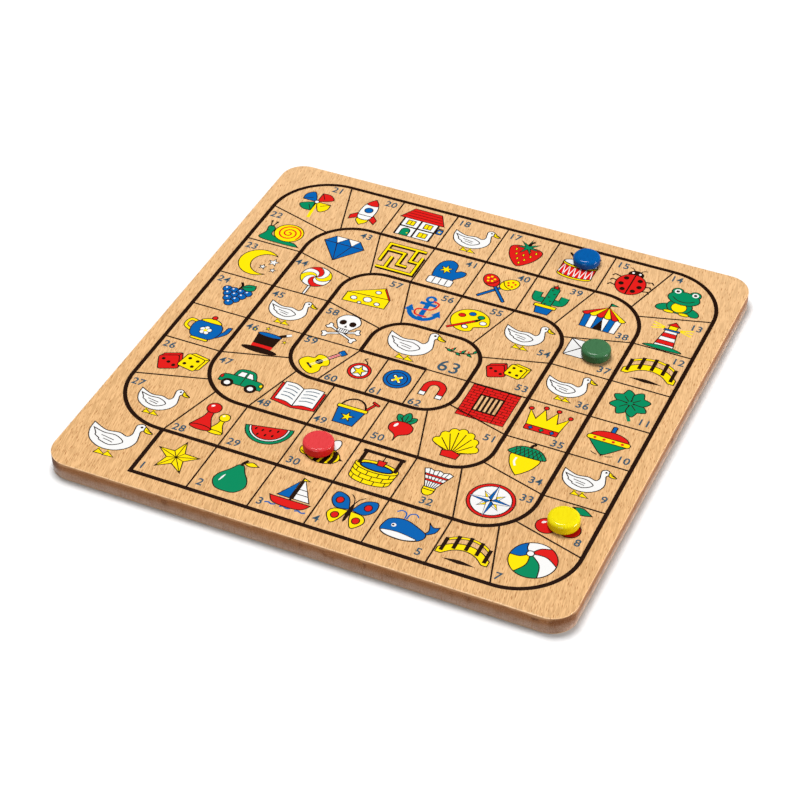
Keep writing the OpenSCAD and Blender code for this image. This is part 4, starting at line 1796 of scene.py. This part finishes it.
    def print_number(self, number: int, x: float, y: float, size: float) -> None:
        """Prints one number.

        Args:
            number: The number.
            x: Its middle, to the right, in millimetres.
            y: Its middle, to the far side, in millimetres.
            size: The size of its type, in millimetres.
        """
        text = bpy.data.curves.new("numeral", "FONT")
        text.body = str(number)
        text.size = size
        text.align_x = "CENTER"
        text.align_y = "CENTER"
        text.resolution_u = self.numeral_steps
        text.extrude = 0.5 * self.numeral_film
        text.offset = self.numeral_weight
        text.space_character = self.numeral_spacing
        carrier = bpy.data.objects.new("numeral", text)
        bpy.context.scene.collection.objects.link(carrier)
        shape = carrier.evaluated_get(bpy.context.evaluated_depsgraph_get()).to_mesh()
        film = self.films[Ink.NUMERAL]
        first = len(film.verts)
        low = self.face_z + 0.5 * self.numeral_film
        for vertex in shape.vertices:
            u, v, w = vertex.co
            film.verts.append(((x + u) * MM, (y + v) * MM, (low + w) * MM))
        film.faces += [tuple(first + i for i in face.vertices) for face in shape.polygons]
        bpy.data.objects.remove(carrier)
        bpy.data.curves.remove(text)

    def print_pictures(self) -> None:
        """Prints the pictures of the spaces, the finish and the start."""
        book = PictureBook(self.films, self.face_z)
        pictures = book.by_space()
        for space in self.track.spaces():
            n = space.number
            room = 0.5 * min(space.wide, space.high) - self.corner_margin * space.beside_corner
            x, y, grow = self.shifts.get(n, (0.0, 0.0, 1.0))
            x, y = space.picture_x + x, space.picture_y + y
            if n in self.signs:
                book.place(x, y, grow * (room - self.sign_margin))
            else:
                across, up = self.number_corner(n).value
                x -= across * self.picture_shift * (not space.in_last_lane)
                y -= up * self.picture_shift * (1 + space.in_last_lane)
                book.place(x, y, grow * min(room - self.picture_margin, self.picture_half))
            pictures[n]()
        for draw, place in (
            (book.goose, self.finish_goose),
            (book.laurel, self.finish_laurel),
            (book.goose, self.start_goose),
        ):
            book.place(*place)
            draw()


@dataclass
class Counters:
    """The four loose counters."""

    effects: Effects
    # Each counter's paint, its darker grain tone and the painted shade of its upright sides.
    paints: dict[str, tuple[Colour, Colour, Colour]] = field(
        default_factory=lambda: {
            "blue": ((0.0, 0.066, 0.238), (0.0, 0.044, 0.175), (0.0, 0.045, 0.18)),
            "red": ((0.485, 0.036, 0.04), (0.4, 0.016, 0.019), (0.43, 0.009, 0.009)),
            "green": ((0.036, 0.112, 0.047), (0.022, 0.08, 0.032), (0.02, 0.075, 0.028)),
            "yellow": ((0.565, 0.475, 0.003), (0.5, 0.38, 0.0), (0.53, 0.39, 0.0)),
        }
    )

    def build(self) -> None:
        """Dresses each counter in its paint."""
        for colour, (paint, deep, side) in self.paints.items():
            finish = PaintFinish(f"{colour}_paint", self.effects, paint, deep, side)
            dress(f"{colour}_counter", finish.material())


@dataclass(frozen=True)
class SoftBox:
    """A square soft box that faces the board, in metres and watts."""

    name: str
    at: Triple
    size: float
    power: float

    def hang(self) -> None:
        """Hangs the box in its place."""
        lamp = bpy.data.lights.new(self.name, "AREA")
        lamp.size = self.size
        lamp.energy = self.power
        box = bpy.data.objects.new(self.name, lamp)
        box.location = self.at
        box.rotation_euler = (-Vector(self.at)).to_track_quat("-Z", "Y").to_euler()
        bpy.context.scene.collection.objects.link(box)


@dataclass
class Studio:
    """A white sweep under soft light, and the camera, in metres and degrees."""

    effects: Effects
    floor_half: float = 5.0
    floor_z: float = -0.0001
    sky: float = 0.15
    seen_sky: float = 1.0
    boxes: tuple[SoftBox, ...] = (
        SoftBox("top_box", (-0.38, 0.36, 2.0), 0.9, 62.5),
        SoftBox("right_box", (1.6, 0.2, 0.18), 0.7, 34.0),
        SoftBox("front_box", (0.1, -1.6, 0.6), 0.9, 12.0),
    )
    camera_at: Triple = (0.39433, -0.87947, 0.81633)
    heading: float = 24.616
    tilt: float = 49.252
    roll: float = -0.342
    lens: float = 101.64
    sensor: float = 36.0

    def build(self) -> None:
        """Sets up the whole studio."""
        self.lay_floor()
        self.light()
        self.set_camera()

    def lay_floor(self) -> None:
        """Lays the sweep."""
        h, z = self.floor_half, self.floor_z
        mesh = bpy.data.meshes.new("floor")
        mesh.from_pydata([(-h, -h, z), (h, -h, z), (h, h, z), (-h, h, z)], [], [(0, 1, 2, 3)])
        floor = bpy.data.objects.new("floor", mesh)
        bpy.context.scene.collection.objects.link(floor)
        mesh.materials.append(FloorFinish("paper_sweep", self.effects).material())

    def light(self) -> None:
        """Sets the sky and the soft boxes."""
        world = bpy.data.worlds.new("studio")
        bpy.context.scene.world = world
        world.use_nodes = True
        desk = Desk(world.node_tree)
        seen = desk.node("LightPath").outputs["Is Camera Ray"]
        strength = desk.ramp(seen, 0.0, 1.0, self.sky, self.seen_sky)
        desk.feed(world.node_tree.nodes["Background"], {"Strength": strength, "Color": (1.0,) * 4})
        for box in self.boxes:
            box.hang()
        view = bpy.context.scene.view_settings
        view.view_transform = "Standard"
        view.look = "None"

    def set_camera(self) -> None:
        """Sets the camera where the photograph was taken from."""
        lens = bpy.data.cameras.new("camera")
        lens.lens = self.lens
        lens.sensor_width = self.sensor
        camera = bpy.data.objects.new("camera", lens)
        turn = Matrix.Rotation(math.radians(self.heading), 4, "Z")
        turn = turn @ Matrix.Rotation(math.radians(self.tilt), 4, "X")
        turn = turn @ Matrix.Rotation(math.radians(self.roll), 4, "Z")
        camera.matrix_world = Matrix.Translation(self.camera_at) @ turn
        bpy.context.scene.collection.objects.link(camera)
        bpy.context.scene.camera = camera


def main() -> None:
    """Builds the studio, the board and the counters in order."""
    logging.basicConfig(level=logging.INFO, format="%(name)s: %(message)s")
    effects = Effects()
    Studio(effects).build()
    Board(effects).build()
    Counters(effects).build()


if __name__ == "__main__":
    main()
